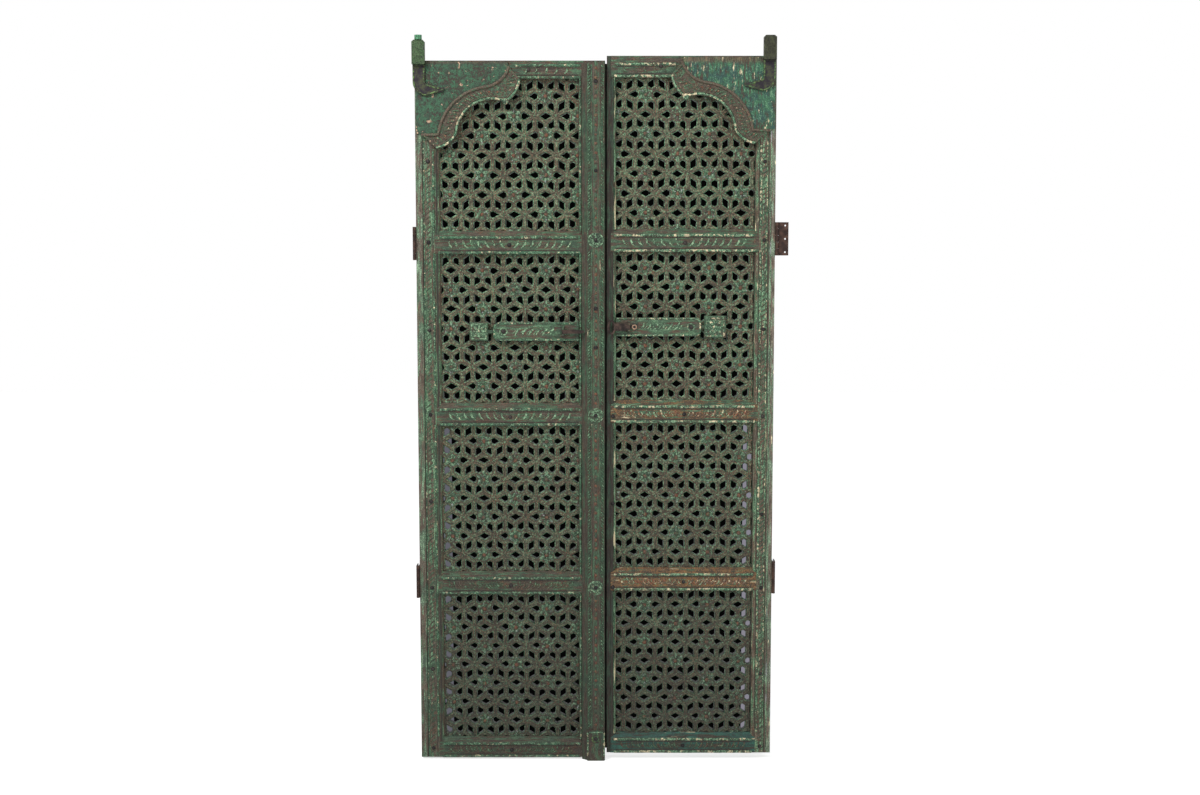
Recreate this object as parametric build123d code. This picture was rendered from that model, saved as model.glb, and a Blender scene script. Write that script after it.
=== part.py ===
import math
import os
from types import SimpleNamespace

from build123d import *

# Pair of jali doors, millimetres. X runs along the pair, Y from the carved front to the plain back, Z up.
# Each leaf is drawn in its own frame: X from its hinge edge to its meeting edge, Y = 0 at its front
# face, Z = 0 at its foot. The right leaf is then mirrored. The part's origin is the middle of the
# flat outer face of the left lower jamb plate.

# The pair
leaf_height = 2135.0
leaf_thickness = 45.0
left_leaf_width = 570.0
right_leaf_width = 508.0
meeting_gap = 5.0
meeting_relief = 5.0
right_leaf_lift = 14.0

# Stiles and rails
left_hinge_stile = 71.5
left_meeting_stile = 80.0
right_hinge_stile = 62.0
right_meeting_stile = 27.5
left_top_rail = 54.0
right_top_rail = 64.0
cross_rail = 70.0
bottom_rail = 62.0
plain_band = 21.0
vee_width = 3.0
vee_depth = 1.8
ovolo_width = 15.0
ovolo_step = 2.0
right_meeting_step = 12.0
rail_bead = 6.0
sill_width = 15.0
sill_drop = 12.0

# Lattice panels
jali_thickness = 20.0
jali_recess = 16.0
groove_depth = 8.0
panel_fit = 0.3
panels_per_leaf = 4
column_pitch = 96.5
flower_pitch = 118.0
left_flower_start = 30.0
right_flower_start = 39.5
spoke_half_width = 9.3
flower_reach = 27.0
lattice_border = 3.0
smallest_hole_area = 45.0

# Spandrel and cusped arch, measured across from the hinge edge and down from the top of the leaf
spandrel_thickness = 6.0
spandrel_margin = 4.0
arch_rise = 12.0
arch_foot_drop = 261.0
arch_foot_reach = 64.5
arch_crown_reach = 316.0
arch_crown_drop = 56.0
arch_shoulder_drop = 216.0
arch_shoulder_reach = 20.0
arch_outer_crown_reach = 279.5
arch_outer_crown_drop = 16.0
arch_border = 6.0
arch_field_depth = 3.0

# Points along the arch's two lines, each across and down from the point named
foot_lobe = (40.0, -17.0)  # from the foot
low_cusp = (62.0, -45.0)  # from the foot
middle_lobe = (91.0, 93.0)  # across from the foot, down from the crown
high_cusp = (-44.0, 67.0)  # from the crown
crown_lobe = (-17.0, 45.0)  # from the crown
shoulder_length = 47.0  # across from the shoulder
outer_lobe = (86.0, 114.0)  # across from the shoulder, down from the outer crown
outer_cusp = (-64.0, 58.0)  # from the outer crown
outer_crown_lobe = (-22.0, 36.0)  # from the outer crown

# Cover strip on the left leaf's meeting edge
strip_width = 56.0
strip_rise = 16.0
strip_flank = 15.0
strip_edge_bevel = 4.0
strip_top_drop = 7.0
strip_foot_overhang = 6.0
strip_block_height = 96.0
strip_block_rise = 4.0

# Latch arm and block over the second panel
arm_centre_height = 1325.0
arm_length = 259.0
arm_height = 56.0
arm_front_rise = 4.0
arm_end_radius = 20.0
arm_border = 5.0
arm_border_rise = 1.6
left_block_gap = 16.0
right_block_gap = 9.5
left_block_size = 56.0
right_block_size = 66.0
block_rise = 2.0
neck_height = 9.0

# Pivot brackets at the top hinge corners
left_pivot_outset = 4.0
right_pivot_outset = -4.0
strap_width = 36.0
strap_thickness = 7.0
strap_straight = 62.0
strap_bend_radius = 46.0
strap_tail_length = 52.0
strap_tip_width = 9.0
strap_bend_angle = 78.0
strap_end_narrowing = 2.8
head_width = 38.0
head_height = 72.0
head_depth = 24.0
head_overlap = 13.0
head_shoulder = 6.0
pivot_pin_radius = 11.0
pivot_pin_height = 14.0

# Butt hinges
hinge_height = 100.0
upper_hinge_centre = 1591.0
lower_hinge_centre = 555.0
knuckle_radius = 5.0
knuckle_count = 5
knuckle_play = 0.5
plate_thickness = 2.5
plate_width = 35.0
hinge_pin_radius = 2.6
hinge_pin_play = 0.05
screw_hole_radius = 2.6
screw_pitch = 40.0
screw_edge = 10.0

# Hasps and their staples
hasp_standoff = 12.0
hasp_pin_radius = 1.8
hasp_pin_play = 0.05
hasp_knuckle_radius = 4.0
hasp_knuckle_height = 13.0
hasp_end_play = 0.5
staple_lug_height = 6.0
staple_plate_thickness = 3.0
staple_plate_height = 34.0
staple_plate_length = 30.0
left_hasp_pivot = 127.5
right_hasp_pivot = 67.5
left_hasp_reach = 64.0
right_strap_length = 46.0
hasp_bar_thickness = 6.0
left_bar_height = 11.0
right_strap_height = 22.0
ring_width = 25.0
ring_height = 44.0
ring_bar = 5.5

jali_front = jali_recess
jali_back = jali_recess + jali_thickness
groove_front = jali_front - panel_fit
groove_back = jali_back + panel_fit
groove_reach = groove_depth + panel_fit
pin_outset = knuckle_radius
pin_front = -knuckle_radius
hasp_axis_front = -arm_front_rise - hasp_standoff


def leaf_sizes(width, hinge_stile, meeting_stile, top_rail, flower_start):
    """Sizes of one leaf, with the openings that its stiles and rails leave."""
    rails = top_rail + bottom_rail + cross_rail * (panels_per_leaf - 1)
    opening_height = (leaf_height - rails) / panels_per_leaf
    return SimpleNamespace(
        width=width,
        hinge_stile=hinge_stile,
        meeting_stile=meeting_stile,
        top_rail=top_rail,
        flower_start=flower_start,
        opening_width=width - hinge_stile - meeting_stile,
        opening_height=opening_height,
        opening_bottoms=[
            leaf_height - top_rail - opening_height - i * (opening_height + cross_rail)
            for i in range(panels_per_leaf)
        ],
    )


left = leaf_sizes(left_leaf_width, left_hinge_stile, left_meeting_stile, left_top_rail, left_flower_start)
right = leaf_sizes(
    right_leaf_width, right_hinge_stile, right_meeting_stile, right_top_rail, right_flower_start
)


def block(x0, x1, y0, y1, z0, z1):
    """A block between two corners."""
    centre = Pos((x0 + x1) / 2, (y0 + y1) / 2, (z0 + z1) / 2)
    return centre * Box(x1 - x0, y1 - y0, z1 - z0)


def upright(edges, z0, z1):
    """A section drawn in plan, run up from one height to another."""
    face = make_face([Pos(0, 0, z0) * edge for edge in edges])
    return extrude(face, amount=z1 - z0, dir=(0, 0, 1))


def facing(edges, y0, y1):
    """An outline drawn in elevation, run from one depth to another."""
    face = make_face([Pos(0, y0, 0) * edge for edge in edges])
    return extrude(face, amount=y1 - y0, dir=(0, 1, 0))


def plan_lines(points):
    """Straight edges through points of the plan, not closed."""
    return [Line((*a, 0), (*b, 0)) for a, b in zip(points, points[1:])]


def elevation_lines(points):
    """Straight edges through points of the elevation, not closed."""
    return [Line((a[0], 0, a[1]), (b[0], 0, b[1])) for a, b in zip(points, points[1:])]


def elevation_arc(start, middle, end):
    """An arc through three points of the elevation."""
    return ThreePointArc(*[(p[0], 0, p[1]) for p in (start, middle, end)])


def panel_groove(edge, inward):
    """Plan points of a stile's panel groove, from front to back. inward is -1 or 1."""
    deep = edge + inward * groove_reach
    return [(edge, groove_front), (deep, groove_front), (deep, groove_back), (edge, groove_back)]


def ovolo(edge, inward):
    """Quarter round that runs down from a stile's face to its panel."""
    top = (edge + inward * ovolo_width, ovolo_step)
    foot = (edge, groove_front)
    turn = math.sqrt(0.5)
    middle = (foot[0] + inward * ovolo_width * (1 - turn), foot[1] - (foot[1] - ovolo_step) * turn)
    return top, middle, foot


def hinge_stile(leaf):
    """Stile at the hinges: plain outer band, vee, carved band and quarter round, grooved for the panels."""
    edge = leaf.hinge_stile
    top, middle, foot = ovolo(edge, -1)
    outer = [
        (0, leaf_thickness),
        (0, 0),
        (plain_band - vee_width / 2, 0),
        (plain_band, vee_depth),
        (plain_band + vee_width / 2, 0),
        (top[0], 0),
        top,
    ]
    back = panel_groove(edge, -1) + [(edge, leaf_thickness), (0, leaf_thickness)]
    round_edge = ThreePointArc((*top, 0), (*middle, 0), (*foot, 0))
    return upright(plan_lines(outer) + [round_edge] + plan_lines(back), 0, leaf_height)


def meeting_stile(leaf, front_step):
    """Stile at the meeting edge, whose edge falls back so that it clears the other leaf as it turns.

    front_step is the width of the lower band beside the meeting edge, or 0.
    """
    edge = leaf.width - leaf.meeting_stile
    width = min(ovolo_width, leaf.meeting_stile - front_step)
    top = (edge + width, ovolo_step)
    foot = (edge, groove_front)
    turn = math.sqrt(0.5)
    middle = (edge + width * (1 - turn), foot[1] - (foot[1] - ovolo_step) * turn)
    front = [foot]
    front += panel_groove(edge, 1)[1:]
    front += [(edge, leaf_thickness), (leaf.width - meeting_relief, leaf_thickness)]
    if front_step:
        front += [(leaf.width, ovolo_step), (leaf.width - front_step, ovolo_step)]
        front += [(leaf.width - front_step, 0)]
    else:
        front += [(leaf.width, 0)]
    if top[0] < front[-1][0]:
        front += [(top[0], 0)]
    front += [top]
    round_edge = ThreePointArc((*top, 0), (*middle, 0), (*foot, 0))
    return upright(plan_lines(front) + [round_edge], 0, leaf_height)


def rail(leaf, stiles, z0, z1, groove_below, groove_above):
    """Rail between the stiles, with a bead below, a sloping sill above and stub tenons in their grooves."""
    points = [(leaf_thickness, z0)]
    if groove_below:
        points += [(groove_back, z0), (groove_back, z0 + groove_reach), (groove_front, z0 + groove_reach)]
        points += [(groove_front, z0), (rail_bead / 2, z0), (0, z0 + rail_bead / 2)]
    else:
        points += [(0, z0)]
    if groove_above:
        points += [(0, z1 - sill_width), (sill_drop, z1), (groove_front, z1)]
        points += [(groove_front, z1 - groove_reach), (groove_back, z1 - groove_reach), (groove_back, z1)]
    else:
        points += [(0, z1)]
    points += [(leaf_thickness, z1), points[0]]
    x0 = leaf.hinge_stile - ovolo_width
    x1 = leaf.width - leaf.meeting_stile + min(ovolo_width, leaf.meeting_stile)
    edges = [Line((x0, *a), (x0, *b)) for a, b in zip(points, points[1:])]
    blank = extrude(make_face(edges), amount=x1 - x0, dir=(1, 0, 0))
    return blank - stiles[0] - stiles[1]


def inset(points, distance):
    """A convex outline, listed anticlockwise, with each side moved in by one distance."""
    sides = []
    for a, b in zip(points, points[1:] + points[:1]):
        length = math.dist(a, b)
        direction = ((b[0] - a[0]) / length, (b[1] - a[1]) / length)
        start = (a[0] - direction[1] * distance, a[1] + direction[0] * distance)
        sides.append((start, direction))
    corners = []
    for (p, d), (q, e) in zip(sides[-1:] + sides[:-1], sides):
        along = ((q[0] - p[0]) * e[1] - (q[1] - p[1]) * e[0]) / (d[0] * e[1] - d[1] * e[0])
        corners.append((p[0] + d[0] * along, p[1] + d[1] * along))
    return corners


def clip(points, axis, limit, side):
    """The part of a convex outline on one side of a line across an axis. side is 1 for above it."""
    kept = []
    for a, b in zip(points, points[1:] + points[:1]):
        inside_a = (a[axis] - limit) * side >= 0
        inside_b = (b[axis] - limit) * side >= 0
        if inside_a:
            kept.append(a)
        if inside_a != inside_b:
            share = (limit - a[axis]) / (b[axis] - a[axis])
            kept.append(tuple(a[i] + (b[i] - a[i]) * share for i in (0, 1)))
    return kept


def area(points):
    """Area inside an outline."""
    pairs = zip(points, points[1:] + points[:1])
    return abs(sum(a[0] * b[1] - b[0] * a[1] for a, b in pairs)) / 2


def lattice_openings(leaf):
    """Openings of one panel, in the panel's own frame with its opening's lower left corner at zero.

    Flowers stand on a triangular grid. From each, spokes run out to six tips a third of the way to
    its neighbours, and from the tips on to the hubs in the middle of each triangle of flowers. The
    spokes part the panel into rhombi, and each rhombus has one opening.
    """
    around = [
        (column_pitch, flower_pitch / 2),
        (0, flower_pitch),
        (-column_pitch, flower_pitch / 2),
        (-column_pitch, -flower_pitch / 2),
        (0, -flower_pitch),
        (column_pitch, -flower_pitch / 2),
    ]
    columns = math.ceil(leaf.opening_width / column_pitch) + 1
    rows = math.ceil(leaf.opening_height / flower_pitch) + 1
    full_rows = math.floor(leaf.opening_height / flower_pitch)
    first_flower = (leaf.opening_height - full_rows * flower_pitch) / 2
    openings = []
    for column in range(-1, columns):
        for row in range(-1, rows + 1):
            x = leaf.flower_start + column * column_pitch
            z = first_flower + (row + (0.5 if column % 2 == 0 else 0)) * flower_pitch
            for k in range(6):
                a, b = around[k], around[(k + 1) % 6]
                hub = (x + (a[0] + b[0]) / 3, z + (a[1] + b[1]) / 3)
                tips = [(x + n[0] / 3, z + n[1] / 3) for n in (a, b)]
                petal_side = inset([(x, z), tips[0], hub, tips[1]], spoke_half_width)
                reach = flower_reach / math.dist((x, z), hub)
                petal_side[0] = (x + (hub[0] - x) * reach, z + (hub[1] - z) * reach)
                openings.append(petal_side)
            for k in range(3):
                before, n, after = around[k - 1], around[k], around[k + 1]
                hubs = [(x + (n[0] + m[0]) / 3, z + (n[1] + m[1]) / 3) for m in (before, after)]
                near, far = (x + n[0] / 3, z + n[1] / 3), (x + n[0] * 2 / 3, z + n[1] * 2 / 3)
                openings.append(inset([near, hubs[0], far, hubs[1]], spoke_half_width))
    kept = []
    for points in openings:
        for axis, size in ((0, leaf.opening_width), (1, leaf.opening_height)):
            points = clip(points, axis, lattice_border, 1) if points else points
            points = clip(points, axis, size - lattice_border, -1) if points else points
        if len(points) > 2 and area(points) > smallest_hole_area:
            kept.append(points)
    return kept


def jali(leaf, openings, z0):
    """One pierced panel, with a rim that stands in the grooves of the stiles and rails."""
    x0 = leaf.hinge_stile
    rim = [
        (-groove_depth, -groove_depth),
        (leaf.opening_width + groove_depth, -groove_depth),
        (leaf.opening_width + groove_depth, leaf.opening_height + groove_depth),
        (-groove_depth, leaf.opening_height + groove_depth),
    ]

    def ring(points):
        return Wire.make_polygon([(x0 + x, jali_front, z0 + z) for x, z in points], close=True)

    face = Face(ring(rim), [ring(points) for points in openings])
    return extrude(face, amount=jali_thickness, dir=(0, 1, 0))


def arch_outlines():
    """Inner and outer line of the cusped arch, each a list of arcs from foot to crown."""
    def spot(reach, drop):
        return (reach, leaf_height - drop)

    foot = spot(arch_foot_reach, arch_foot_drop)
    crown = spot(arch_crown_reach, arch_crown_drop)
    shoulder = spot(arch_shoulder_reach, arch_shoulder_drop)
    outer_crown = spot(arch_outer_crown_reach, arch_outer_crown_drop)

    def beside(point, step):
        return (point[0] + step[0], point[1] - step[1])

    low, high = beside(foot, low_cusp), beside(crown, high_cusp)
    inner = [
        elevation_arc(foot, beside(foot, foot_lobe), low),
        elevation_arc(low, beside((foot[0], crown[1]), middle_lobe), high),
        elevation_arc(high, beside(crown, crown_lobe), crown),
    ]
    elbow = beside(shoulder, (shoulder_length, 0))
    bend = beside(outer_crown, outer_cusp)
    outer = [
        Line((shoulder[0], 0, shoulder[1]), (elbow[0], 0, elbow[1])),
        elevation_arc(elbow, beside((shoulder[0], outer_crown[1]), outer_lobe), bend),
        elevation_arc(bend, beside(outer_crown, outer_crown_lobe), outer_crown),
    ]
    return inner, outer


def joined(first, second):
    """A straight edge from the end of one edge to the start or end of another."""
    return Line(tuple(first), tuple(second))


def arch(carriers):
    """Cusped arch moulding with a sunk field, thick enough to rest on the panel beside the frame."""
    inner, outer = arch_outlines()
    foot = joined(inner[0] @ 0, outer[0] @ 0)
    crown = joined(inner[-1] @ 1, outer[-1] @ 1)
    outline = inner + [crown] + outer + [foot]
    moulding = facing(outline, -arch_rise, jali_front)
    for carrier in carriers:
        moulding = moulding - carrier
    field = offset(make_face([Pos(0, -arch_rise, 0) * edge for edge in outline]), amount=-arch_border)
    return moulding - extrude(field, amount=arch_field_depth, dir=(0, 1, 0))


def spandrel():
    """Flat board that fills the corner outside the arch, on the face of the frame."""
    outer = arch_outlines()[1]
    top = leaf_height - spandrel_margin
    shoulder, crown = outer[0] @ 0, outer[-1] @ 1
    rim = elevation_lines(
        [
            (crown.X, crown.Z),
            (crown.X, top),
            (spandrel_margin, top),
            (spandrel_margin, shoulder.Z),
            (shoulder.X, shoulder.Z),
        ]
    )
    return facing(outer + rim, -spandrel_thickness, 0)


def cover_strip(leaf):
    """Raised strip along the left leaf's meeting edge, with a thicker square block at its foot."""
    face_edge = leaf.width - strip_width
    section = [
        (face_edge - strip_flank, 0),
        (face_edge, -strip_rise + strip_edge_bevel),
        (face_edge + strip_edge_bevel, -strip_rise),
        (leaf.width - strip_edge_bevel, -strip_rise),
        (leaf.width, -strip_rise + strip_edge_bevel),
        (leaf.width, 0),
        (face_edge - strip_flank, 0),
    ]
    strip = upright(plan_lines(section), -strip_foot_overhang, leaf_height - strip_top_drop)
    foot_block = block(
        face_edge, leaf.width, -strip_rise - strip_block_rise, 0,
        -strip_foot_overhang, strip_block_height - strip_foot_overhang,
    )
    return strip + chamfer(foot_block.edges().filter_by(Axis.Z).group_by(Axis.Y)[0], strip_block_rise)


def arm_outline(leaf, margin):
    """Face of the latch arm, rounded at its free end, drawn in by a margin."""
    edge = leaf.width - leaf.meeting_stile
    z0, z1 = arm_centre_height - arm_height / 2 + margin, arm_centre_height + arm_height / 2 - margin
    x0, x1 = edge - arm_length + margin, edge
    radius = arm_end_radius - margin
    turn = radius * (1 - math.sqrt(0.5))
    return [
        *elevation_lines([(x0 + radius, z0), (x1, z0), (x1, z1), (x0 + radius, z1)]),
        elevation_arc((x0 + radius, z1), (x0 + turn, z1 - turn), (x0, z1 - radius)),
        *elevation_lines([(x0, z1 - radius), (x0, z0 + radius)]),
        elevation_arc((x0, z0 + radius), (x0 + turn, z0 + turn), (x0 + radius, z0)),
    ]


def latch_arm(leaf):
    """Latch arm on the second panel's face, its field sunk inside a raised border."""
    whole = facing(arm_outline(leaf, 0), -arm_front_rise - arm_border_rise, jali_front)
    field = facing(arm_outline(leaf, arm_border), -arm_front_rise - arm_border_rise, -arm_front_rise)
    return whole - field


def latch_block(leaf, gap, size):
    """Square carved block beyond the arm's free end, with the thin neck between them."""
    end = leaf.width - leaf.meeting_stile - arm_length
    low, high = arm_centre_height - size / 2, arm_centre_height + size / 2
    body = block(end - gap - size, end - gap, -block_rise, jali_front, low, high)
    body = chamfer(body.faces().sort_by(Axis.Y)[0].edges(), block_rise)
    neck = block(
        end - gap, end, 0, jali_front,
        arm_centre_height - neck_height / 2, arm_centre_height + neck_height / 2,
    )
    return body + neck


def pivot_bracket(outset, with_pin):
    """J shaped strap on the spandrel, with a carved head above the leaf and, where kept, its pin."""
    back = -spandrel_thickness
    front = back - strap_thickness
    x0, x1 = -outset, -outset + strap_width
    bend_top = leaf_height - strap_straight
    angle = math.radians(strap_bend_angle)
    inner_radius = max(strap_bend_radius - strap_width, strap_thickness)
    centre = (x1 + inner_radius, bend_top)

    def around(radius, turn):
        return (centre[0] - radius * math.cos(turn), centre[1] - radius * math.sin(turn))

    outer_radius = inner_radius + strap_width
    tail = (math.sin(angle) * strap_tail_length, -math.cos(angle) * strap_tail_length)
    inner_end = around(inner_radius, angle)
    outer_end = around(outer_radius - strap_end_narrowing, angle)
    tip = (inner_end[0] + tail[0], inner_end[1] + tail[1])
    low_tip = (tip[0] - strap_tip_width / 2, tip[1] - strap_tip_width)
    top = leaf_height + head_height - head_overlap
    outline = [
        *elevation_lines([(x1, bend_top), (x1, leaf_height), (x0, leaf_height), (x0, bend_top)]),
        elevation_arc((x0, bend_top), around(outer_radius, angle / 2), outer_end),
        *elevation_lines([outer_end, low_tip, tip, inner_end]),
        elevation_arc(inner_end, around(inner_radius, angle / 2), (x1, bend_top)),
    ]
    bracket = facing(outline, front, back)
    middle = (x0 + x1) / 2
    head = block(
        middle - head_width / 2, middle + head_width / 2, back - head_depth, back,
        leaf_height - head_overlap, top,
    )
    head = chamfer(head.faces().sort_by(Axis.Z)[-1].edges(), head_shoulder)
    bracket = bracket + head
    if with_pin:
        pin = Pos(middle, back - head_depth / 2, top + pivot_pin_height / 2)
        bracket = bracket + pin * Cylinder(pivot_pin_radius, pivot_pin_height)
    return bracket


def knuckles(z0, numbers):
    """Some of a hinge's knuckles about its pin, counted from the bottom, with their lowest and highest Z."""
    pitch = hinge_height / knuckle_count
    rolls = []
    for number in numbers:
        low = z0 + number * pitch + (knuckle_play / 2 if number else 0)
        high = z0 + (number + 1) * pitch - (knuckle_play / 2 if number < knuckle_count - 1 else 0)
        roll = Pos(-pin_outset, pin_front, (low + high) / 2) * Cylinder(knuckle_radius, high - low)
        rolls.append((roll, low, high))
    return rolls


def screw_holes(place, z_centre, turned):
    """Three round holes up a hinge plate, through its thickness."""
    holes = []
    for step in (-1, 0, 1):
        hole = Cylinder(screw_hole_radius, 2 * plate_thickness)
        lie = Rot(90, 0, 0) if turned else Rot(0, 90, 0)
        holes.append(Pos(place[0], place[1], z_centre + step * screw_pitch) * lie * hole)
    return holes


def side_plate(z_centre, door_side):
    """Hinge plate that lies along the leaf's edge, on the door or folded shut on the jamb."""
    z0 = z_centre - hinge_height / 2
    x0 = -plate_thickness if door_side else -2 * pin_outset
    x1 = x0 + plate_thickness
    numbers = range(1, knuckle_count, 2) if door_side else range(0, knuckle_count, 2)
    plate = block(x0, x1, knuckle_play, plate_width, z0, z0 + hinge_height)
    for hole in screw_holes(((x0 + x1) / 2, plate_width - screw_edge), z_centre, False):
        plate = plate - hole
    for roll, low, high in knuckles(z0, numbers):
        plate = plate + roll + block(x0, x1, pin_front, knuckle_play, low, high)
    axis = Pos(-pin_outset, pin_front, z_centre)
    if door_side:
        return plate - axis * Cylinder(hinge_pin_radius + hinge_pin_play, hinge_height)
    return plate + axis * Cylinder(hinge_pin_radius, hinge_height)


def turned_plate(z_centre):
    """Jamb plate turned out in the plane of the door's face, for screws from the front."""
    z0 = z_centre - hinge_height / 2
    y0 = pin_front + knuckle_radius - plate_thickness
    x_near = -pin_outset - knuckle_radius - knuckle_play
    x_far = -pin_outset - plate_width
    plate = block(x_far, x_near, y0, y0 + plate_thickness, z0, z0 + hinge_height)
    for hole in screw_holes((x_far + screw_edge, y0 + plate_thickness / 2), z_centre, True):
        plate = plate - hole
    for roll, low, high in knuckles(z0, range(0, knuckle_count, 2)):
        plate = plate + roll + block(x_near, -pin_outset, y0, y0 + plate_thickness, low, high)
    return plate + Pos(-pin_outset, pin_front, z_centre) * Cylinder(hinge_pin_radius, hinge_height)


def staple(leaf, pivot):
    """Plate on the latch arm with two lugs that hold the hasp's upright pin."""
    x = leaf.width - pivot
    face = -arm_front_rise
    low, high = arm_centre_height - staple_plate_height / 2, arm_centre_height + staple_plate_height / 2
    plate = block(
        x - staple_plate_length + hasp_knuckle_radius, x + hasp_knuckle_radius,
        face - staple_plate_thickness, face, low, high,
    )
    reach = hasp_knuckle_height / 2 + hasp_end_play
    for side in (-1, 1):
        z_near = arm_centre_height + side * reach
        z_far = z_near + side * staple_lug_height
        lug = block(
            x - hasp_knuckle_radius, x + hasp_knuckle_radius, hasp_axis_front, face,
            min(z_near, z_far), max(z_near, z_far),
        )
        eye = Pos(x, hasp_axis_front, (z_near + z_far) / 2)
        plate = plate + lug + eye * Cylinder(hasp_knuckle_radius, staple_lug_height)
    pin_height = 2 * (reach + staple_lug_height)
    return plate + Pos(x, hasp_axis_front, arm_centre_height) * Cylinder(hasp_pin_radius, pin_height)


def hasp_knuckle(x):
    """Bored knuckle of a hasp about its pin."""
    place = Pos(x, hasp_axis_front, arm_centre_height)
    bore = Cylinder(hasp_pin_radius + hasp_pin_play, hasp_knuckle_height)
    return place * Cylinder(hasp_knuckle_radius, hasp_knuckle_height), place * bore


def bar_hasp(leaf, pivot):
    """Hasp of the left leaf: a bar that tapers to a blunt point."""
    x = leaf.width - pivot
    roll, bore = hasp_knuckle(x)
    half, tip = left_bar_height / 2, left_bar_height / 4
    end = x + left_hasp_reach
    outline = [
        (x, arm_centre_height - half),
        (end - left_bar_height, arm_centre_height - half),
        (end, arm_centre_height - tip),
        (end, arm_centre_height + tip),
        (end - left_bar_height, arm_centre_height + half),
        (x, arm_centre_height + half),
        (x, arm_centre_height - half),
    ]
    y0 = hasp_axis_front - hasp_bar_thickness / 2
    bar = facing(elevation_lines(outline), y0, y0 + hasp_bar_thickness)
    return bar + roll - bore


def ring_hasp(leaf, pivot):
    """Hasp of the right leaf: a strap that ends in an upright oval ring."""
    x = leaf.width - pivot
    roll, bore = hasp_knuckle(x)
    y0 = hasp_axis_front - hasp_bar_thickness / 2
    half = right_strap_height / 2
    neck = hasp_knuckle_height / 2
    neck_end = x + hasp_knuckle_radius * 1.5
    shoulder = neck_end + half - neck
    end = x + right_strap_length
    outline = [
        (x, arm_centre_height - neck),
        (neck_end, arm_centre_height - neck),
        (shoulder, arm_centre_height - half),
        (end, arm_centre_height - half),
        (end, arm_centre_height + half),
        (shoulder, arm_centre_height + half),
        (neck_end, arm_centre_height + neck),
        (x, arm_centre_height + neck),
        (x, arm_centre_height - neck),
    ]
    strap = facing(elevation_lines(outline), y0, y0 + hasp_bar_thickness)
    place = Pos(end + ring_width / 2 - ring_bar, hasp_axis_front + hasp_bar_thickness / 2, arm_centre_height)
    stand = place * Rot(90, 0, 0)
    outer = extrude(Ellipse(ring_width / 2, ring_height / 2), amount=hasp_bar_thickness)
    eye = extrude(Ellipse(ring_width / 2 - ring_bar, ring_height / 2 - ring_bar), amount=hasp_bar_thickness)
    return strap + stand * outer - stand * eye + roll - bore


def leaf_nodes(leaf, side):
    """Every piece of one leaf, by name, in the leaf's own frame."""
    left_side = side == "left"
    stiles = [hinge_stile(leaf), meeting_stile(leaf, 0 if left_side else right_meeting_step)]
    nodes = {"hinge_stile": stiles[0], "meeting_stile": stiles[1]}
    nodes["top_rail"] = rail(leaf, stiles, leaf_height - leaf.top_rail, leaf_height, True, False)
    for number, bottom in enumerate(leaf.opening_bottoms[:-1], start=1):
        nodes[f"rail_{number}"] = rail(leaf, stiles, bottom - cross_rail, bottom, True, True)
    nodes["bottom_rail"] = rail(leaf, stiles, 0, bottom_rail, False, True)
    openings = lattice_openings(leaf)
    for number, bottom in enumerate(leaf.opening_bottoms, start=1):
        nodes[f"jali_{number}"] = jali(leaf, openings, bottom)
    nodes["spandrel"] = spandrel()
    nodes["arch"] = arch([stiles[0], nodes["top_rail"]])
    nodes["pivot_bracket"] = pivot_bracket(
        left_pivot_outset if left_side else right_pivot_outset, with_pin=left_side
    )
    nodes["latch_arm"] = latch_arm(leaf)
    nodes["latch_block"] = latch_block(
        leaf, left_block_gap if left_side else right_block_gap,
        left_block_size if left_side else right_block_size,
    )
    pivot = left_hasp_pivot if left_side else right_hasp_pivot
    nodes["staple"] = staple(leaf, pivot)
    nodes["hasp"] = bar_hasp(leaf, pivot) if left_side else ring_hasp(leaf, pivot)
    for name, centre in (("upper", upper_hinge_centre), ("lower", lower_hinge_centre)):
        nodes[f"{name}_door_plate"] = side_plate(centre, True)
        if name == "upper" and not left_side:
            nodes[f"{name}_jamb_plate"] = turned_plate(centre)
        else:
            nodes[f"{name}_jamb_plate"] = side_plate(centre, False)
    if left_side:
        nodes["cover_strip"] = cover_strip(leaf)
    return nodes


def main():
    """Place both leaves about the origin and write one file for each piece."""
    os.makedirs("parts", exist_ok=True)
    left_edge = -meeting_gap / 2 - left.width
    right_edge = meeting_gap / 2 + right.width
    origin = (left_edge - 2 * pin_outset, plate_width / 2, lower_hinge_centre)
    for side, leaf in (("left", left), ("right", right)):
        for name, solid in leaf_nodes(leaf, side).items():
            if side == "left":
                placed = Pos(left_edge - origin[0], -origin[1], -origin[2]) * solid
            else:
                turned = mirror(solid, about=Plane.YZ)
                placed = Pos(right_edge - origin[0], -origin[1], right_leaf_lift - origin[2]) * turned
            export_step(placed, f"parts/{side}_{name}.step")


main()
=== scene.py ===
import math
import random

import bpy
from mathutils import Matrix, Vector


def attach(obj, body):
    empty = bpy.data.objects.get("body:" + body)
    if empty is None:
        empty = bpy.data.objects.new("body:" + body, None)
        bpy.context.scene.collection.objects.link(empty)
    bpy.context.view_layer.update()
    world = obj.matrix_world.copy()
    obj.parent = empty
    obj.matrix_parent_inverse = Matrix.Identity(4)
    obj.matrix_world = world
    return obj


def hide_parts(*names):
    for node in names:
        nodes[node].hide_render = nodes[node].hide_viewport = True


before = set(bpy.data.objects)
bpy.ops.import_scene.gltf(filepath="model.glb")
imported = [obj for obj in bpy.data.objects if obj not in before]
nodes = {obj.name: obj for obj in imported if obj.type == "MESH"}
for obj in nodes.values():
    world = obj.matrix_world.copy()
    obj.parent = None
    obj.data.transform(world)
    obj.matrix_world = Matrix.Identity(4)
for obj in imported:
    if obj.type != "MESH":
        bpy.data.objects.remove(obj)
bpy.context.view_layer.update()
print("frame loaded")

random.seed(11)


# Selection and mesh helpers

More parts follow.
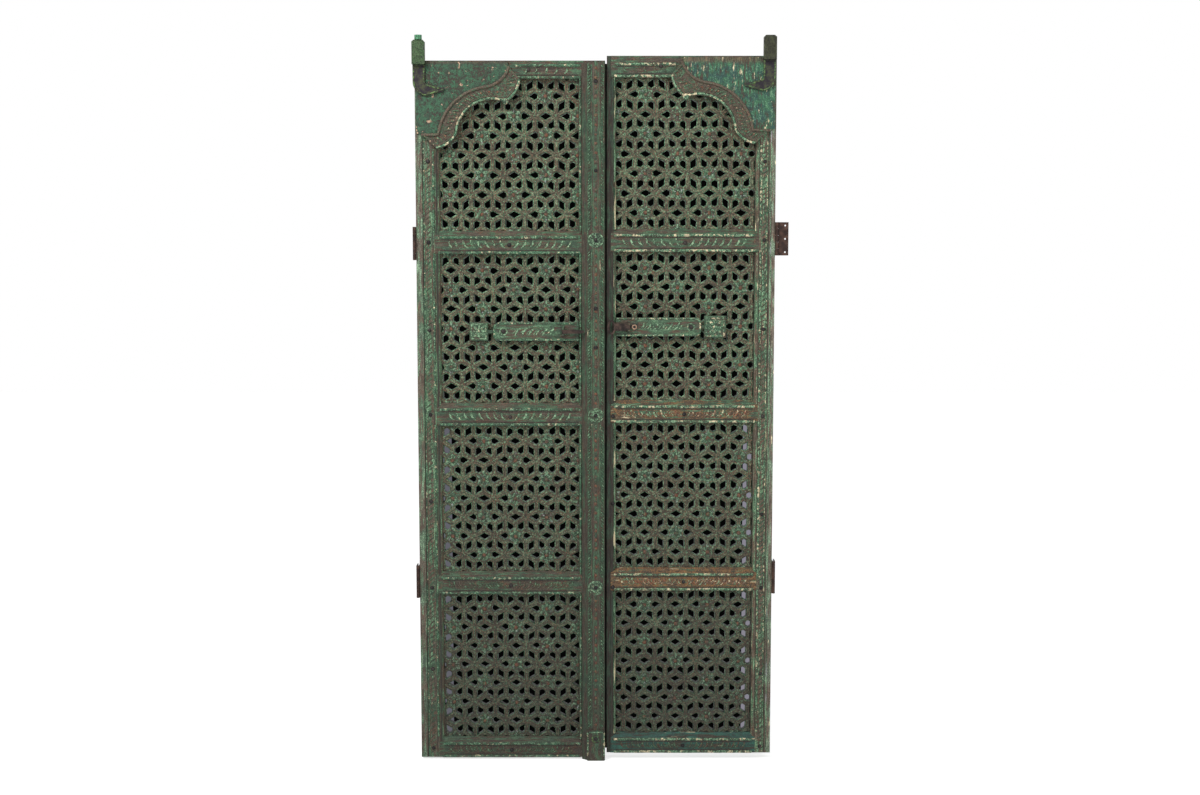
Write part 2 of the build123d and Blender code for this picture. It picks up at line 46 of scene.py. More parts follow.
def deselectAll():
    if bpy.context.object and bpy.context.object.mode != "OBJECT":
        bpy.ops.object.mode_set(mode="OBJECT")
    bpy.ops.object.select_all(action="DESELECT")


def pick(*objects):
    deselectAll()
    for item in objects:
        item.select_set(True)
    bpy.context.view_layer.objects.active = objects[0]
    return objects[0]


def editAll(item):
    pick(item)
    bpy.ops.object.mode_set(mode="EDIT")
    bpy.ops.mesh.select_all(action="SELECT")


def objectMode():
    bpy.ops.object.mode_set(mode="OBJECT")


def named(name):
    item = bpy.context.object
    item.name = name
    item.data.name = name
    return item


def settle(item):
    pick(item)
    bpy.ops.object.transform_apply(location=True, rotation=True, scale=True)
    return item


def shaped(name, size, turn=(0, 0, 0)):
    # Sizes the primitive just added, about its own centre and before it is turned
    item = named(name)
    item.scale = size
    item.rotation_euler = turn
    return settle(item)


def copyOf(item, name="copy"):
    twin = item.copy()
    twin.data = item.data.copy()
    twin.name = name
    bpy.context.scene.collection.objects.link(twin)
    return twin


def moved(item, x=0.0, y=0.0, z=0.0, turn=0.0, size=(1, 1, 1)):
    item.rotation_euler = (0, turn, 0)
    item.scale = size
    item.location = (x, y, z)
    return settle(item)


def joined(items, name):
    pick(*items)
    if len(items) > 1:
        bpy.ops.object.join()
    return named(name)


def applyModifier(item, kind, **settings):
    pick(item)
    modifier = item.modifiers.new(kind.title(), kind)
    for key, value in settings.items():
        setattr(modifier, key, value)
    bpy.ops.object.modifier_apply(modifier=modifier.name)


def weld(item, distance=0.00002):
    editAll(item)
    bpy.ops.mesh.remove_doubles(threshold=distance)
    objectMode()


def cutAt(item, place, normal):
    editAll(item)
    bpy.ops.mesh.bisect(plane_co=place, plane_no=normal, use_fill=True, clear_outer=True)
    objectMode()


def smooth(item, angle=35):
    pick(item)
    bpy.ops.object.shade_smooth_by_angle(angle=math.radians(angle))


def dress(item, material, body):
    item.data.materials.clear()
    item.data.materials.append(material)
    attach(item, body)
    return item


# Shader maths as plain expressions

class Wire:
    def __init__(self, tree, socket):
        self.tree = tree
        self.socket = socket

    def maths(self, operation, other=None, flip=False):
        values = [self, other] if other is not None else [self]
        if flip:
            values.reverse()
        return self.tree.node("ShaderNodeMath", {"operation": operation}, dict(enumerate(values)))

    def __add__(self, other):
        return self.maths("ADD", other)

    def __radd__(self, other):
        return self.maths("ADD", other, True)

    def __sub__(self, other):
        return self.maths("SUBTRACT", other)

    def __rsub__(self, other):
        return self.maths("SUBTRACT", other, True)

    def __mul__(self, other):
        return self.maths("MULTIPLY", other)

    def __rmul__(self, other):
        return self.maths("MULTIPLY", other, True)

    def clamped(self, low=0.0, high=1.0):
        settings = {"interpolation_type": "LINEAR", "clamp": True}
        return self.tree.node("ShaderNodeMapRange", settings, {0: self, 1: low, 2: high, 3: 0.0, 4: 1.0})

    def step(self, low, high):
        settings = {"interpolation_type": "SMOOTHSTEP"}
        return self.tree.node("ShaderNodeMapRange", settings, {0: self, 1: low, 2: high, 3: 0.0, 4: 1.0})


class Finish:
    # The node tree of a new material, or the tree given
    def __init__(self, name, tree=None):
        if tree is None:
            self.material = bpy.data.materials.new(name)
            self.material.use_nodes = True
            tree = self.material.node_tree
        self.nodes, self.links = tree.nodes, tree.links
        self.nodes.clear()

    def node(self, kind, settings=None, inputs=None, output=0):
        made = self.nodes.new(kind)
        for key, value in (settings or {}).items():
            setattr(made, key, value)
        for key, value in (inputs or {}).items():
            socket = made.inputs[key]
            if isinstance(value, Wire):
                self.links.new(value.socket, socket)
            elif isinstance(value, tuple) and len(value) == 3 and socket.type == "RGBA":
                socket.default_value = (*value, 1)
            else:
                socket.default_value = value
        return Wire(self, made.outputs[output] if len(made.outputs) else None)

    def noise(self, scale, detail=4.0, rough=0.6, stretch=(1, 1, 1), shift=(0, 0, 0), warp=0.0):
        spot = self.node("ShaderNodeTexCoord", output="Object")
        spot = self.node("ShaderNodeMapping", None, {0: spot, 1: shift, 3: stretch})
        return self.node("ShaderNodeTexNoise", None, {"Vector": spot, "Scale": scale, "Detail": detail,
                                                      "Roughness": rough, "Distortion": warp})

    def blend(self, share, first, second, kind="MIX"):
        settings = {"data_type": "RGBA", "blend_type": kind, "clamp_factor": True}
        made = self.node("ShaderNodeMix", settings, {0: share, 6: first, 7: second})
        return Wire(self, made.socket.node.outputs[2])

    def coord(self, axis):
        spot = self.node("ShaderNodeTexCoord", output="Object")
        return self.node("ShaderNodeSeparateXYZ", None, {0: spot}, axis)

    def bump(self, height, strength, distance):
        return self.node("ShaderNodeBump", None, {"Strength": strength, "Distance": distance, "Height": height})

    def close(self, **sockets):
        inputs = {key.replace("_", " "): value for key, value in sockets.items()}
        shader = self.node("ShaderNodeBsdfPrincipled", None, inputs)
        self.node("ShaderNodeOutputMaterial", None, {0: shader})
        return self.material


# Old paint over wood. Colours are linear.

paintTones = {
    "brown": (0.080, 0.052, 0.031),
    "grey": (0.150, 0.126, 0.094),
    "umber": (0.120, 0.078, 0.043),
    "clay": (0.158, 0.098, 0.064),
    "red": (0.190, 0.072, 0.038),
    "ochre": (0.240, 0.120, 0.045),
    # Near black, used both for dirt and for painted shade in grooves, hole walls and shadowed parts
    "dirtAndShade": (0.010, 0.010, 0.007),
    "deep": (0.024, 0.052, 0.029),
    "mid": (0.058, 0.122, 0.062),
    "pale": (0.190, 0.310, 0.185),
    "grass": (0.034, 0.125, 0.060),
    "teal": (0.018, 0.105, 0.072),
    "blueTeal": (0.012, 0.052, 0.043),
    "cream": (0.620, 0.530, 0.340),
    "pink": (0.600, 0.390, 0.260),
    "lilac": (0.320, 0.320, 0.330),
    "olive": (0.040, 0.052, 0.018),
    "moss": (0.095, 0.170, 0.050),
    "ash": (0.270, 0.262, 0.225),
}
# A look changes some of these. paint, pale, red, cream and the dark share (dirt and painted shade) are shares;
# stretch draws the grain out; low, high and rust are the wood's tones and deep, mid and bright the paint's; depth
# is the y range that holds paint in hollows; bands are (axis, near, far, tone, share), and the groove lines (axis,
# place, half width) are painted shade along carved cuts.
plainLook = {
    "stretch": (1, 1, 1), "paint": 0.5, "pale": 0.3, "red": 0.4, "cream": 0.0, "creamTone": "cream",
    "creamSize": 150, "low": "brown", "high": "grey", "rust": "red", "deep": "deep", "mid": "mid", "bright": "pale",
    "dirtAndShade": 0.4, "depth": None, "bands": (), "grooves": (), "foot": 0.3, "bump": 0.6, "shade": 1.0, "seed": 0.0,
}


def paintedWood(name, **changes):
    # Flaked paint over worn wood; the masks run from grain to hand-sized patches
    look = {**plainLook, **changes}
    t = paintTones
    s = look["seed"]
    finish = Finish(name)
    grain = finish.noise(430, 4, 0.6, look["stretch"], (0.3 + s, 0.1, 0.7))
    flake = finish.noise(135, 6, 0.66, look["stretch"], (0.2, 2.2 + s, 0.1), 0.15)
    fine = finish.noise(330, 4, 0.6, (1, 1, 1), (3.2, 0.2, 1.3 + s))
    patch = finish.noise(13, 5, 0.6, (1, 1, 1), (1.7, 0.4 + s, 0.9), 0.2)
    tint = finish.noise(48, 4, 0.6, (1, 1, 1), (0.6 + s, 3.3, 2.4))
    bare = finish.blend(grain.step(0.42, 0.60), t[look["low"]], t[look["high"]])
    rusty = (tint * 0.5 + fine * 0.5).step(0.60 - 0.16 * look["red"], 0.66 - 0.12 * look["red"])
    bare = finish.blend(rusty * min(1.0, look["red"] * 1.2), bare, t[look["rust"]])
    green = finish.blend((tint * 0.6 + grain * 0.4).step(0.42, 0.58), t[look["deep"]], t[look["mid"]])
    bright = (flake * 0.55 + fine * 0.45).step(0.60 - 0.14 * look["pale"], 0.66 - 0.10 * look["pale"])
    green = finish.blend(bright * min(1.0, look["pale"] * 1.5), green, t[look["bright"]])
    share = flake * 0.5 + patch * 0.32 + grain * 0.18
    middle = 0.60 - 0.2 * look["paint"]
    cover = share.step(middle - 0.025, middle + 0.025)
    if look["depth"]:
        # Paint wears off the high places and stays in the hollows
        hollow = finish.coord(1).step(*look["depth"])
        cover = (cover * 0.30 + hollow * 0.80).clamped(0.0, 1.0)
    colour = finish.blend(cover, bare, green)
    for axis, near, far, tone, amount in look["bands"]:
        band = finish.coord(axis).step(near, far) * (0.35 + 0.65 * flake.step(0.35, 0.65))
        colour = finish.blend(band * amount, colour, t[tone])
    if look["cream"]:
        chips = finish.noise(look["creamSize"], 5, 0.6, look["stretch"], (4.1, 0.2 + s, 1.3))
        edge = 0.665 - 0.13 * look["cream"]
        colour = finish.blend(chips.step(edge, edge + 0.02), colour, t[look["creamTone"]])
    grime = (patch * 0.4 + flake * 0.6).step(0.38, 0.54)
    colour = finish.blend((1 - grime) * look["dirtAndShade"], colour, t["dirtAndShade"])
    # Darker towards the bottom of the door
    foot = 1 - finish.coord(2).step(-0.60, 0.75)
    colour = finish.blend(foot * look["foot"], colour, t["dirtAndShade"])
    # Painted shade: dark lines along the carved vees, where shadow falls in the cuts
    for axis, place, half in look["grooves"]:
        near = finish.coord(axis).step(place - half, place - half * 0.3)
        far = finish.coord(axis).step(place + half, place + half * 0.3)
        colour = finish.blend(near * far * 0.8, colour, t["dirtAndShade"])
    spots = (fine * 0.6 + flake * 0.4).step(0.40, 0.60)
    speck = finish.blend(spots, (0.58 * look["shade"],) * 3, (1.42 * look["shade"],) * 3)
    colour = finish.blend(1.0, colour, speck, "MULTIPLY")
    # Painted shade: the walls inside the lattice holes turn near black with depth, where shadow falls in the holes
    if look["depth"]:
        wall = finish.coord(1).step(0.0026, 0.0048)
        colour = finish.blend(wall * 0.9, colour, t["dirtAndShade"])
    rough = 0.50 + 0.28 * flake + 0.12 * (1 - cover)
    relief = grain * 0.5 + flake * 0.8 + cover * 0.5
    normal = finish.bump(relief, look["bump"], 0.0014)
    return finish.close(Base_Color=colour, Roughness=rough, Normal=normal)


alongX = (0.10, 1, 1)
alongZ = (1, 1, 0.10)
streaks = (1, 1, 0.22)
woodLooks = {
    # The stiles' dark groove lines are painted shade in their carved vees
    "leftStile": dict(stretch=alongZ, paint=0.50, pale=0.45, red=0.35, foot=0.30,
        bands=((0, 0.033, 0.026, "ash", 0.14),),
        grooves=((0, 0.0315, 0.0022), (0, 0.0605, 0.0020), (0, 0.0725, 0.0050)), shade=1.35),
    "rightStile": dict(stretch=alongZ, paint=0.45, pale=0.50, red=0.40, cream=0.1,
        bands=((0, 1.070, 1.079, "ash", 0.28),),
        grooves=((0, 1.0740, 0.0018), (0, 1.0445, 0.0018), (0, 1.0320, 0.0022)), foot=0.20, shade=1.4,
        seed=1.3),
    "leftMeeting": dict(stretch=alongZ, paint=0.42, pale=0.12, red=0.45, dirtAndShade=0.6, foot=0.35, shade=0.8,
        seed=2.2),
    # Painted shadow: the right meeting stile is kept dark as if in the cover strip's shadow
    "rightMeeting": dict(stretch=alongZ, paint=0.50, pale=0.10, red=0.35, dirtAndShade=0.8, foot=0.3, shade=0.45,
        seed=2.6),
    "rail": dict(stretch=alongX, paint=0.47, pale=0.22, red=0.45, dirtAndShade=0.45, foot=0.4, shade=0.95),
    "mixedRail": dict(stretch=alongX, paint=0.42, pale=0.30, red=0.75, rust="ochre", cream=0.22, high="umber",
        dirtAndShade=0.35, foot=0.15, shade=1.0, seed=0.2),
    "warmRail": dict(stretch=alongX, paint=0.26, pale=0.25, red=0.90, rust="ochre", cream=0.25, high="umber",
        dirtAndShade=0.35, foot=0.1, shade=0.9, seed=0.7),
    "tealRail": dict(stretch=alongX, paint=0.70, pale=0.10, red=0.35, cream=0.35, creamSize=60, deep="blueTeal",
        mid="teal", dirtAndShade=0.55, foot=0.2, shade=0.85, seed=3.1),
    "lattice": dict(low="brown", high="clay", mid="grass", paint=0.50, pale=0.75, red=0.50, dirtAndShade=0.45,
        foot=0.62, depth=(-0.0015, -0.0003), shade=1.04),
    "arch": dict(paint=0.38, pale=0.25, red=0.40, cream=0.10, creamTone="pink", creamSize=120, dirtAndShade=0.5,
        foot=0.0, shade=0.9, seed=4.0),
    "archEdge": dict(paint=0.25, pale=0.30, red=0.35, dirtAndShade=0.25, foot=0.0, shade=1.0, seed=4.4),
    # Painted shade: the strip's bands darken its two flanks either side of the lighter middle ridge
    "strip": dict(stretch=alongZ, paint=0.50, pale=0.18, red=0.40, dirtAndShade=0.5, foot=0.35,
        bands=((0, 0.5430, 0.5410, "dirtAndShade", 0.45), (0, 0.5620, 0.5640, "dirtAndShade", 0.45)), shade=0.95, seed=1.9),
    "stripRidge": dict(stretch=alongZ, paint=0.65, pale=0.35, red=0.35, cream=0.05, dirtAndShade=0.3, foot=0.35,
        shade=0.95, seed=1.5),
    "arm": dict(stretch=alongX, paint=0.60, pale=0.40, red=0.40, dirtAndShade=0.3, foot=0.0, seed=2.7),
    "leftSpandrel": dict(paint=0.68, pale=0.08, red=0.2, cream=0.34, creamTone="pink", creamSize=58,
        deep="deep", mid="grass", dirtAndShade=0.6, bands=((2, 1.566, 1.574, "brown", 0.9),), foot=0.0, shade=0.8),
    "rightSpandrel": dict(stretch=streaks, paint=0.70, pale=0.40, red=0.35, cream=0.46, creamSize=85,
        deep="blueTeal", mid="grass", dirtAndShade=0.5, bands=((2, 1.568, 1.582, "umber", 0.95),), foot=0.0, shade=1.05,
        seed=2.0),
    "flower": dict(paint=0.60, pale=0.65, red=0.2, cream=0.30, creamTone="lilac", creamSize=160, dirtAndShade=0.35,
        foot=0.45),
    "boss": dict(paint=0.25, pale=0.2, red=0.95, dirtAndShade=0.3, foot=0.35),
    "leftBead": dict(paint=0.75, pale=0.60, red=0.3, cream=0.36, creamSize=95, dirtAndShade=0.2, foot=0.26,
        mid="grass"),
    "rightBead": dict(paint=0.7, pale=0.80, red=0.4, cream=0.75, creamSize=80, dirtAndShade=0.15, foot=0.15,
        mid="grass"),
    "creamBead": dict(stretch=alongZ, paint=0.7, pale=0.9, cream=0.95, creamSize=60, dirtAndShade=0.1, foot=0.15,
        mid="grass", shade=1.1, seed=0.6),
    "feather": dict(paint=0.75, pale=0.60, red=0.4, dirtAndShade=0.25, foot=0.3, mid="grass", shade=1.1, seed=1.1),
    "rosette": dict(paint=0.8, pale=0.75, red=0.3, cream=0.12, dirtAndShade=0.2, foot=0.25, seed=0.9),
    "archBead": dict(paint=0.9, pale=0.85, red=0.3, cream=0.80, creamSize=70, dirtAndShade=0.15, foot=0.0, mid="grass",
        seed=0.4),
    # Painted shadow: near-black brown fillets stand for the shadow lines beside the rail beads
    "brownBead": dict(paint=0.1, red=0.5, low="dirtAndShade", dirtAndShade=0.5, foot=0.3, shade=0.55),
    "rim": dict(stretch=alongZ, paint=0.85, pale=0.9, red=0.2, cream=0.95, creamTone="lilac", creamSize=60,
        dirtAndShade=0.1, foot=0.2, shade=1.2),
    "greenCut": dict(paint=0.85, pale=0.95, red=0.2, cream=0.30, dirtAndShade=0.10, foot=0.3, shade=1.2),
    "warmCut": dict(paint=0.3, pale=0.9, red=0.95, cream=0.5, creamSize=120, dirtAndShade=0.05, foot=0.1, shade=1.2),
    "dimCut": dict(paint=0.55, pale=0.45, red=0.55, dirtAndShade=0.3, foot=0.3),
    "staple": dict(stretch=alongX, paint=0.45, pale=0.30, red=0.55, low="dirtAndShade", dirtAndShade=0.5, foot=0.0, shade=0.85,
        seed=6.0),
    "eye": dict(paint=0.1, low="pink", high="pink", red=0.5, dirtAndShade=0.3, foot=0.0, shade=0.8),
    # Painted shade: near black for the dark hole in the staple's eye
    "soot": dict(paint=0.1, low="dirtAndShade", high="dirtAndShade", red=0.0, foot=0.0, shade=0.5),
    "mossy": dict(paint=0.75, pale=0.85, red=0.2, low="dirtAndShade", high="brown", deep="deep", mid="olive",
        bright="moss", dirtAndShade=0.4, foot=0.0, shade=1.05, seed=5.5),
}
woods = {name: paintedWood(name + "Paint", **look) for name, look in woodLooks.items()}


def forgedIron(name, base, rust, share, edge=None, bands=()):
    finish = Finish(name)
    grain = finish.noise(260, 6, 0.65)
    patch = finish.noise(60, 5, 0.6, shift=(1.0, 2.0, 3.0))
    fleck = finish.noise(420, 4, 0.6, shift=(2.0, 0.4, 1.1))
    colour = finish.blend(patch.step(0.5 - 0.2 * share, 0.7), base, rust)
    colour = finish.blend(grain.step(0.58, 0.8) * 0.4, colour, (0.20, 0.19, 0.185))
    if edge:
        colour = finish.blend((fleck * 0.5 + patch * 0.5).step(0.50, 0.56), colour, edge)
    relief = grain * 0.6 + patch * 0.6
    for low, high, tone, amount in bands:
        # Above one height the iron keeps its paint and is chased with small scrolls
        band = finish.coord(2).step(low, high)
        scroll = finish.noise(95, 1, 0.5, (1, 1, 0.6), (0.3, 0.1, 0.2), 1.4)
        lines = (scroll * 9.0).maths("FRACT").step(0.15, 0.45)
        colour = finish.blend(band * lines * amount, colour, tone)
        relief = relief + band * lines * 1.5
    normal = finish.bump(relief, 0.6, 0.0010)
    return finish.close(Base_Color=colour, Roughness=0.45 + 0.3 * grain,
                        Metallic=0.7 - 0.5 * patch.step(0.4, 0.7), Normal=normal)


irons = {
    "leftStrap": forgedIron("leftStrapIron", (0.024, 0.020, 0.026), (0.034, 0.029, 0.035), 0.3,
                            (0.045, 0.054, 0.018), ((1.562, 1.570, (0.070, 0.135, 0.055), 0.85),
                                                    (1.638, 1.641, (0.100, 0.330, 0.170), 1.0))),
    "rightStrap": forgedIron("rightStrapIron", (0.024, 0.020, 0.026), (0.034, 0.029, 0.035), 0.3,
                             (0.045, 0.054, 0.018), ((1.576, 1.584, (0.058, 0.064, 0.030), 0.75),)),
    "hinge": forgedIron("hingeIron", (0.030, 0.018, 0.015), (0.075, 0.034, 0.020), 0.6),
    "hasp": forgedIron("haspIron", (0.022, 0.016, 0.014), (0.070, 0.040, 0.028), 0.4),
    "stud": forgedIron("studIron", (0.020, 0.018, 0.018), (0.035, 0.026, 0.022), 0.3),
}
print("finishes made")


# Leaves, in the frame of the whole part. A leaf's own x runs from its hinge edge to its meeting edge,
# y from its front face back and z up from its foot.

leftLeaf = {"body": "left_leaf", "prefix": "left_", "edge": 0.010, "way": 1, "foot": -0.555,
            "width": 0.570, "stile": 0.0715, "start": 0.030, "meeting": 0.080, "topRail": 0.054,
            "opening": 0.45225, "bottoms": (1.62875, 1.1065, 0.58425, 0.062), "archEnd": 0.235,
            "bead": "leftBead", "cuts": ("greenCut", "greenCut", "dimCut")}
rightLeaf = {"body": "right_leaf", "prefix": "right_", "edge": 1.093, "way": -1, "foot": -0.541,
             "width": 0.508, "stile": 0.062, "start": 0.0395, "meeting": 0.0275, "topRail": 0.064,
             "opening": 0.44975, "bottoms": (1.62125, 1.1015, 0.58175, 0.062), "archEnd": 0.245,
             "bead": "rightBead", "cuts": ("greenCut", "warmCut", "warmCut")}
leaves = (leftLeaf, rightLeaf)
leafHeight = 2.135
faceY = -0.0175
openingWidth = 0.4185


def standOn(leaf, item):
    # Takes a piece drawn in a leaf's own frame to that leaf, turning it over for the right one
    pick(item)
    item.location = (leaf["edge"], faceY, leaf["foot"])
    item.scale = (leaf["way"], 1, 1)
    settle(item)
    if leaf["way"] < 0:
        editAll(item)
        bpy.ops.mesh.flip_normals()
        objectMode()
    return item


# Lattice: rhombic tiles, each with a groove round it, a flat ridge, a hollow edge and a hole

lattice = {
    "pitch": 0.118, "columns": 0.0965, "front": 0.016, "back": 0.036,
    "groove": 0.0017, "grooveDeep": 0.0014, "ridge": 0.0028, "slope": 0.0035, "slopeDeep": 0.0038,
    "flowerRadius": 0.0172, "petalReach": 0.0165, "petalSize": (0.0112, 0.0034, 0.0062), "petalBack": 0.0012,
    "boss": (0.0062, 0.0042), "rows": 7, "columnPairs": 4, "spare": 2, "rim": 0.0065,
    "wander": 0.0052, "wanderScale": 0.045, "wanderGrowth": 1.07,
}


def latticeTile(name, cutEnd):
    # A rhombus in the xz plane with its hole, long axis along x, flower at the -x end
    p = lattice
    longHalf = p["pitch"] / (2 * math.sqrt(3))
    shortHalf = p["pitch"] / 6
    inner = p["groove"] + p["ridge"] + p["slope"]
    halves = []
    for depth in (p["front"] + p["grooveDeep"], p["back"]):
        deselectAll()
        bpy.ops.mesh.primitive_circle_add(vertices=4, radius=1, fill_type="NGON", location=(0, depth, 0))
        editAll(shaped(name, (longHalf, shortHalf, 1), (math.radians(90), 0, 0)))
        if cutEnd:
            place = -longHalf + p["flowerRadius"]
            bpy.ops.mesh.bisect(plane_co=(place, 0, 0), plane_no=(1, 0, 0))
            objectMode()
            for face in bpy.context.object.data.polygons:
                face.select = face.center.x > place
            bpy.ops.object.mode_set(mode="EDIT")
        if depth < p["back"]:
            bpy.ops.mesh.inset(thickness=p["groove"])
            bpy.ops.transform.translate(value=(0, -p["grooveDeep"], 0))
            bpy.ops.mesh.inset(thickness=p["ridge"])
            bpy.ops.mesh.inset(thickness=p["slope"])
            bpy.ops.transform.translate(value=(0, p["slopeDeep"], 0))
            wall = p["back"] - p["front"] - p["slopeDeep"]
            bpy.ops.mesh.extrude_region_move(TRANSFORM_OT_translate={"value": (0, wall, 0)})
            bpy.ops.mesh.delete(type="FACE")
        else:
            bpy.ops.mesh.inset(thickness=inner)
            bpy.ops.mesh.delete(type="FACE")
            bpy.ops.mesh.select_all(action="SELECT")
            bpy.ops.mesh.flip_normals()
        objectMode()
        halves.append(bpy.context.object)
    tile = joined(halves, name)
    weld(tile)
    return tile


def openDome(name, reach, back, size, turn, segments):
    # The front half of a round shape at a reach from the flower's middle, open behind
    deselectAll()
    bpy.ops.mesh.primitive_uv_sphere_add(segments=segments, ring_count=6, radius=1, location=(reach, back, 0))
    editAll(shaped(name, size, turn))
    bpy.ops.mesh.bisect(plane_co=(0, back, 0), plane_no=(0, 1, 0), clear_outer=True)
    objectMode()
    return bpy.context.object


def latticeCell():
    # One flower with the six tiles round it and the three between it and its neighbours
    p = lattice
    kite, rhombus = latticeTile("kiteTile", True), latticeTile("rhombusTile", False)
    parts = []
    for k in range(6):
        turn = math.radians(60 * k)
        reach = p["pitch"] / (2 * math.sqrt(3))
        parts.append(moved(copyOf(kite), math.cos(turn) * reach, 0, math.sin(turn) * reach, -turn))
    for degrees in (30, 90, 150):
        turn = math.radians(degrees)
        half = p["pitch"] / 2
        parts.append(moved(copyOf(rhombus), math.cos(turn) * half, 0, math.sin(turn) * half,
                           -turn - math.radians(90)))
    for part in parts:
        part.data.materials.append(woods["lattice"])
    across, proud, wide = p["petalSize"]
    bossRadius, high = p["boss"]
    petal = openDome("petal", p["petalReach"], p["front"] + p["petalBack"], (wide, proud, across),
                     (0, math.radians(90), 0), 10)
    boss = openDome("flowerBoss", 0, p["front"], (bossRadius, bossRadius, high), (math.radians(90), 0, 0), 12)
    petal.data.materials.append(woods["flower"])
    boss.data.materials.append(woods["boss"])
    for k in range(6):
        parts.append(moved(copyOf(petal), turn=-math.radians(30 + 60 * k)))
    parts.append(boss)
    for spare in (kite, rhombus, petal):
        bpy.data.objects.remove(spare)
    return joined(parts, "latticeCell")


def latticeSheet():
    p = lattice
    cell = latticeCell()
    regular = p["pitch"] * math.sqrt(3) / 2
    applyModifier(cell, "ARRAY", count=p["rows"], use_relative_offset=False, use_constant_offset=True,
                  constant_offset_displace=(0, 0, p["pitch"]))
    second = moved(copyOf(cell), regular, 0, -p["pitch"] / 2)
    pair = joined([cell, second], "latticeSheet")
    applyModifier(pair, "ARRAY", count=p["columnPairs"], use_relative_offset=False, use_constant_offset=True,
                  constant_offset_displace=(2 * regular, 0, 0))
    weld(pair, 0.0001)
    pair.scale = (p["columns"] / regular, 1, 1)
    return settle(pair)


wanderTexture = bpy.data.textures.new("handCut", "CLOUDS")
wanderTexture.noise_scale = lattice["wanderScale"]
wanderTexture.noise_depth = 1


def latticePanel(sheet, leaf, number):
    p = lattice
    bottom = leaf["bottoms"][number - 1]
    rows = math.floor(leaf["opening"] / p["pitch"])
    firstRow = (leaf["opening"] - rows * p["pitch"]) / 2 + p["pitch"] / 2
    panel = copyOf(sheet)
    # The sheet starts two columns before the first flower and two rows below it
    x = leaf["stile"] + leaf["start"] - p["spare"] * p["columns"]
    moved(panel, x, 0, bottom + firstRow - p["spare"] * p["pitch"])
    panel.name = panel.data.name = leaf["prefix"] + "lattice_" + str(number)
    for direction in ("X", "Z"):
        applyModifier(panel, "DISPLACE", texture=wanderTexture, direction=direction,
                      strength=p["wander"], texture_coords="LOCAL")
        wanderTexture.noise_scale *= p["wanderGrowth"]
    wanderTexture.noise_scale = lattice["wanderScale"]
    low, high = leaf["stile"] - p["rim"], leaf["stile"] + openingWidth + p["rim"]
    cutAt(panel, (low, 0, 0), (-1, 0, 0))
    cutAt(panel, (high, 0, 0), (1, 0, 0))
    cutAt(panel, (0, 0, bottom - p["rim"]), (0, 0, -1))
    cutAt(panel, (0, 0, bottom + leaf["opening"] + p["rim"]), (0, 0, 1))
    standOn(leaf, panel)
    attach(panel, leaf["body"])
    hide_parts(leaf["prefix"] + "jali_" + str(number))
    return panel


sheet = latticeSheet()
for leaf in leaves:
    for number in (1, 2, 3, 4):
        latticePanel(sheet, leaf, number)
bpy.data.objects.remove(sheet)
print("lattice panels made")


# The frame's own solids keep their shape and get the old paint

def repaint(material, *names):
    for name in names:
        for slotItem in nodes[name].material_slots:
            slotItem.material = material
        if not nodes[name].material_slots:
            nodes[name].data.materials.append(material)


for leaf in leaves:
    prefix = leaf["prefix"]
    left = leaf is leftLeaf
    repaint(woods["leftStile" if left else "rightStile"], prefix + "hinge_stile")
    repaint(woods["leftMeeting" if left else "rightMeeting"], prefix + "meeting_stile")
    repaint(woods["rail"], prefix + "top_rail", prefix + "rail_1")
    repaint(woods["rail" if left else "mixedRail"], prefix + "rail_2")
    repaint(woods["rail" if left else "warmRail"], prefix + "rail_3")
    repaint(woods["rail" if left else "tealRail"], prefix + "bottom_rail")
    repaint(woods["leftSpandrel" if left else "rightSpandrel"], prefix + "spandrel")
    repaint(woods["arch"], prefix + "arch")
    repaint(woods["arm"], prefix + "latch_arm", prefix + "latch_block")
    repaint(irons["leftStrap" if left else "rightStrap"], prefix + "pivot_bracket")
    repaint(irons["hasp"], prefix + "hasp")
    repaint(woods["staple"], prefix + "staple")
    repaint(irons["hinge"], prefix + "upper_door_plate", prefix + "lower_door_plate",
            prefix + "upper_jamb_plate", prefix + "lower_jamb_plate")
repaint(woods["strip"], "left_cover_strip")
print("frame painted")


# Carving: half-round beads, comma strokes, domes and tubes, all laid on the frame's faces. Their sizes are
# metres: a bead or line is (radius, proud), a stroke (length, width, proud).

carving = {"sunk": 0.0002, "nick": 0.0016, "nickSize": 0.018, "smoothAngle": 50}
finishes = {**woods, **irons}
nickTexture = bpy.data.textures.new("nicks", "CLOUDS")
nickTexture.noise_scale = carving["nickSize"]
nickTexture.noise_depth = 2


def flatBacked(item):
    # Keeps a round shape's front, with its flat back just under the face
    cutAt(item, (0, carving["sunk"], 0), (0, 1, 0))
    return item


def bead(start, end, radius, proud, cuts=28):
    # A half-round strip along a face, from start to end in the leaf's frame
    a, b = Vector(start), Vector(end)
    length = (b - a).length
    deselectAll()
    bpy.ops.mesh.primitive_cylinder_add(vertices=8, radius=1, depth=1)
    item = flatBacked(shaped("bead", (radius, proud, length)))
    editAll(item)
    bpy.ops.mesh.select_mode(type="EDGE")
    bpy.ops.mesh.select_all(action="DESELECT")
    objectMode()
    for edge in item.data.edges:
        ends = [item.data.vertices[i].co.z for i in edge.vertices]
        edge.select = abs(ends[0] - ends[1]) > length / 2
    bpy.ops.object.mode_set(mode="EDIT")
    bpy.ops.mesh.subdivide(number_cuts=cuts)
    objectMode()
    moved(item, *((a + b) / 2), math.atan2(b.x - a.x, b.z - a.z))
    for direction in ("X", "Z"):
        applyModifier(item, "DISPLACE", texture=nickTexture, direction=direction, strength=carving["nick"],
                      texture_coords="LOCAL")
    return item


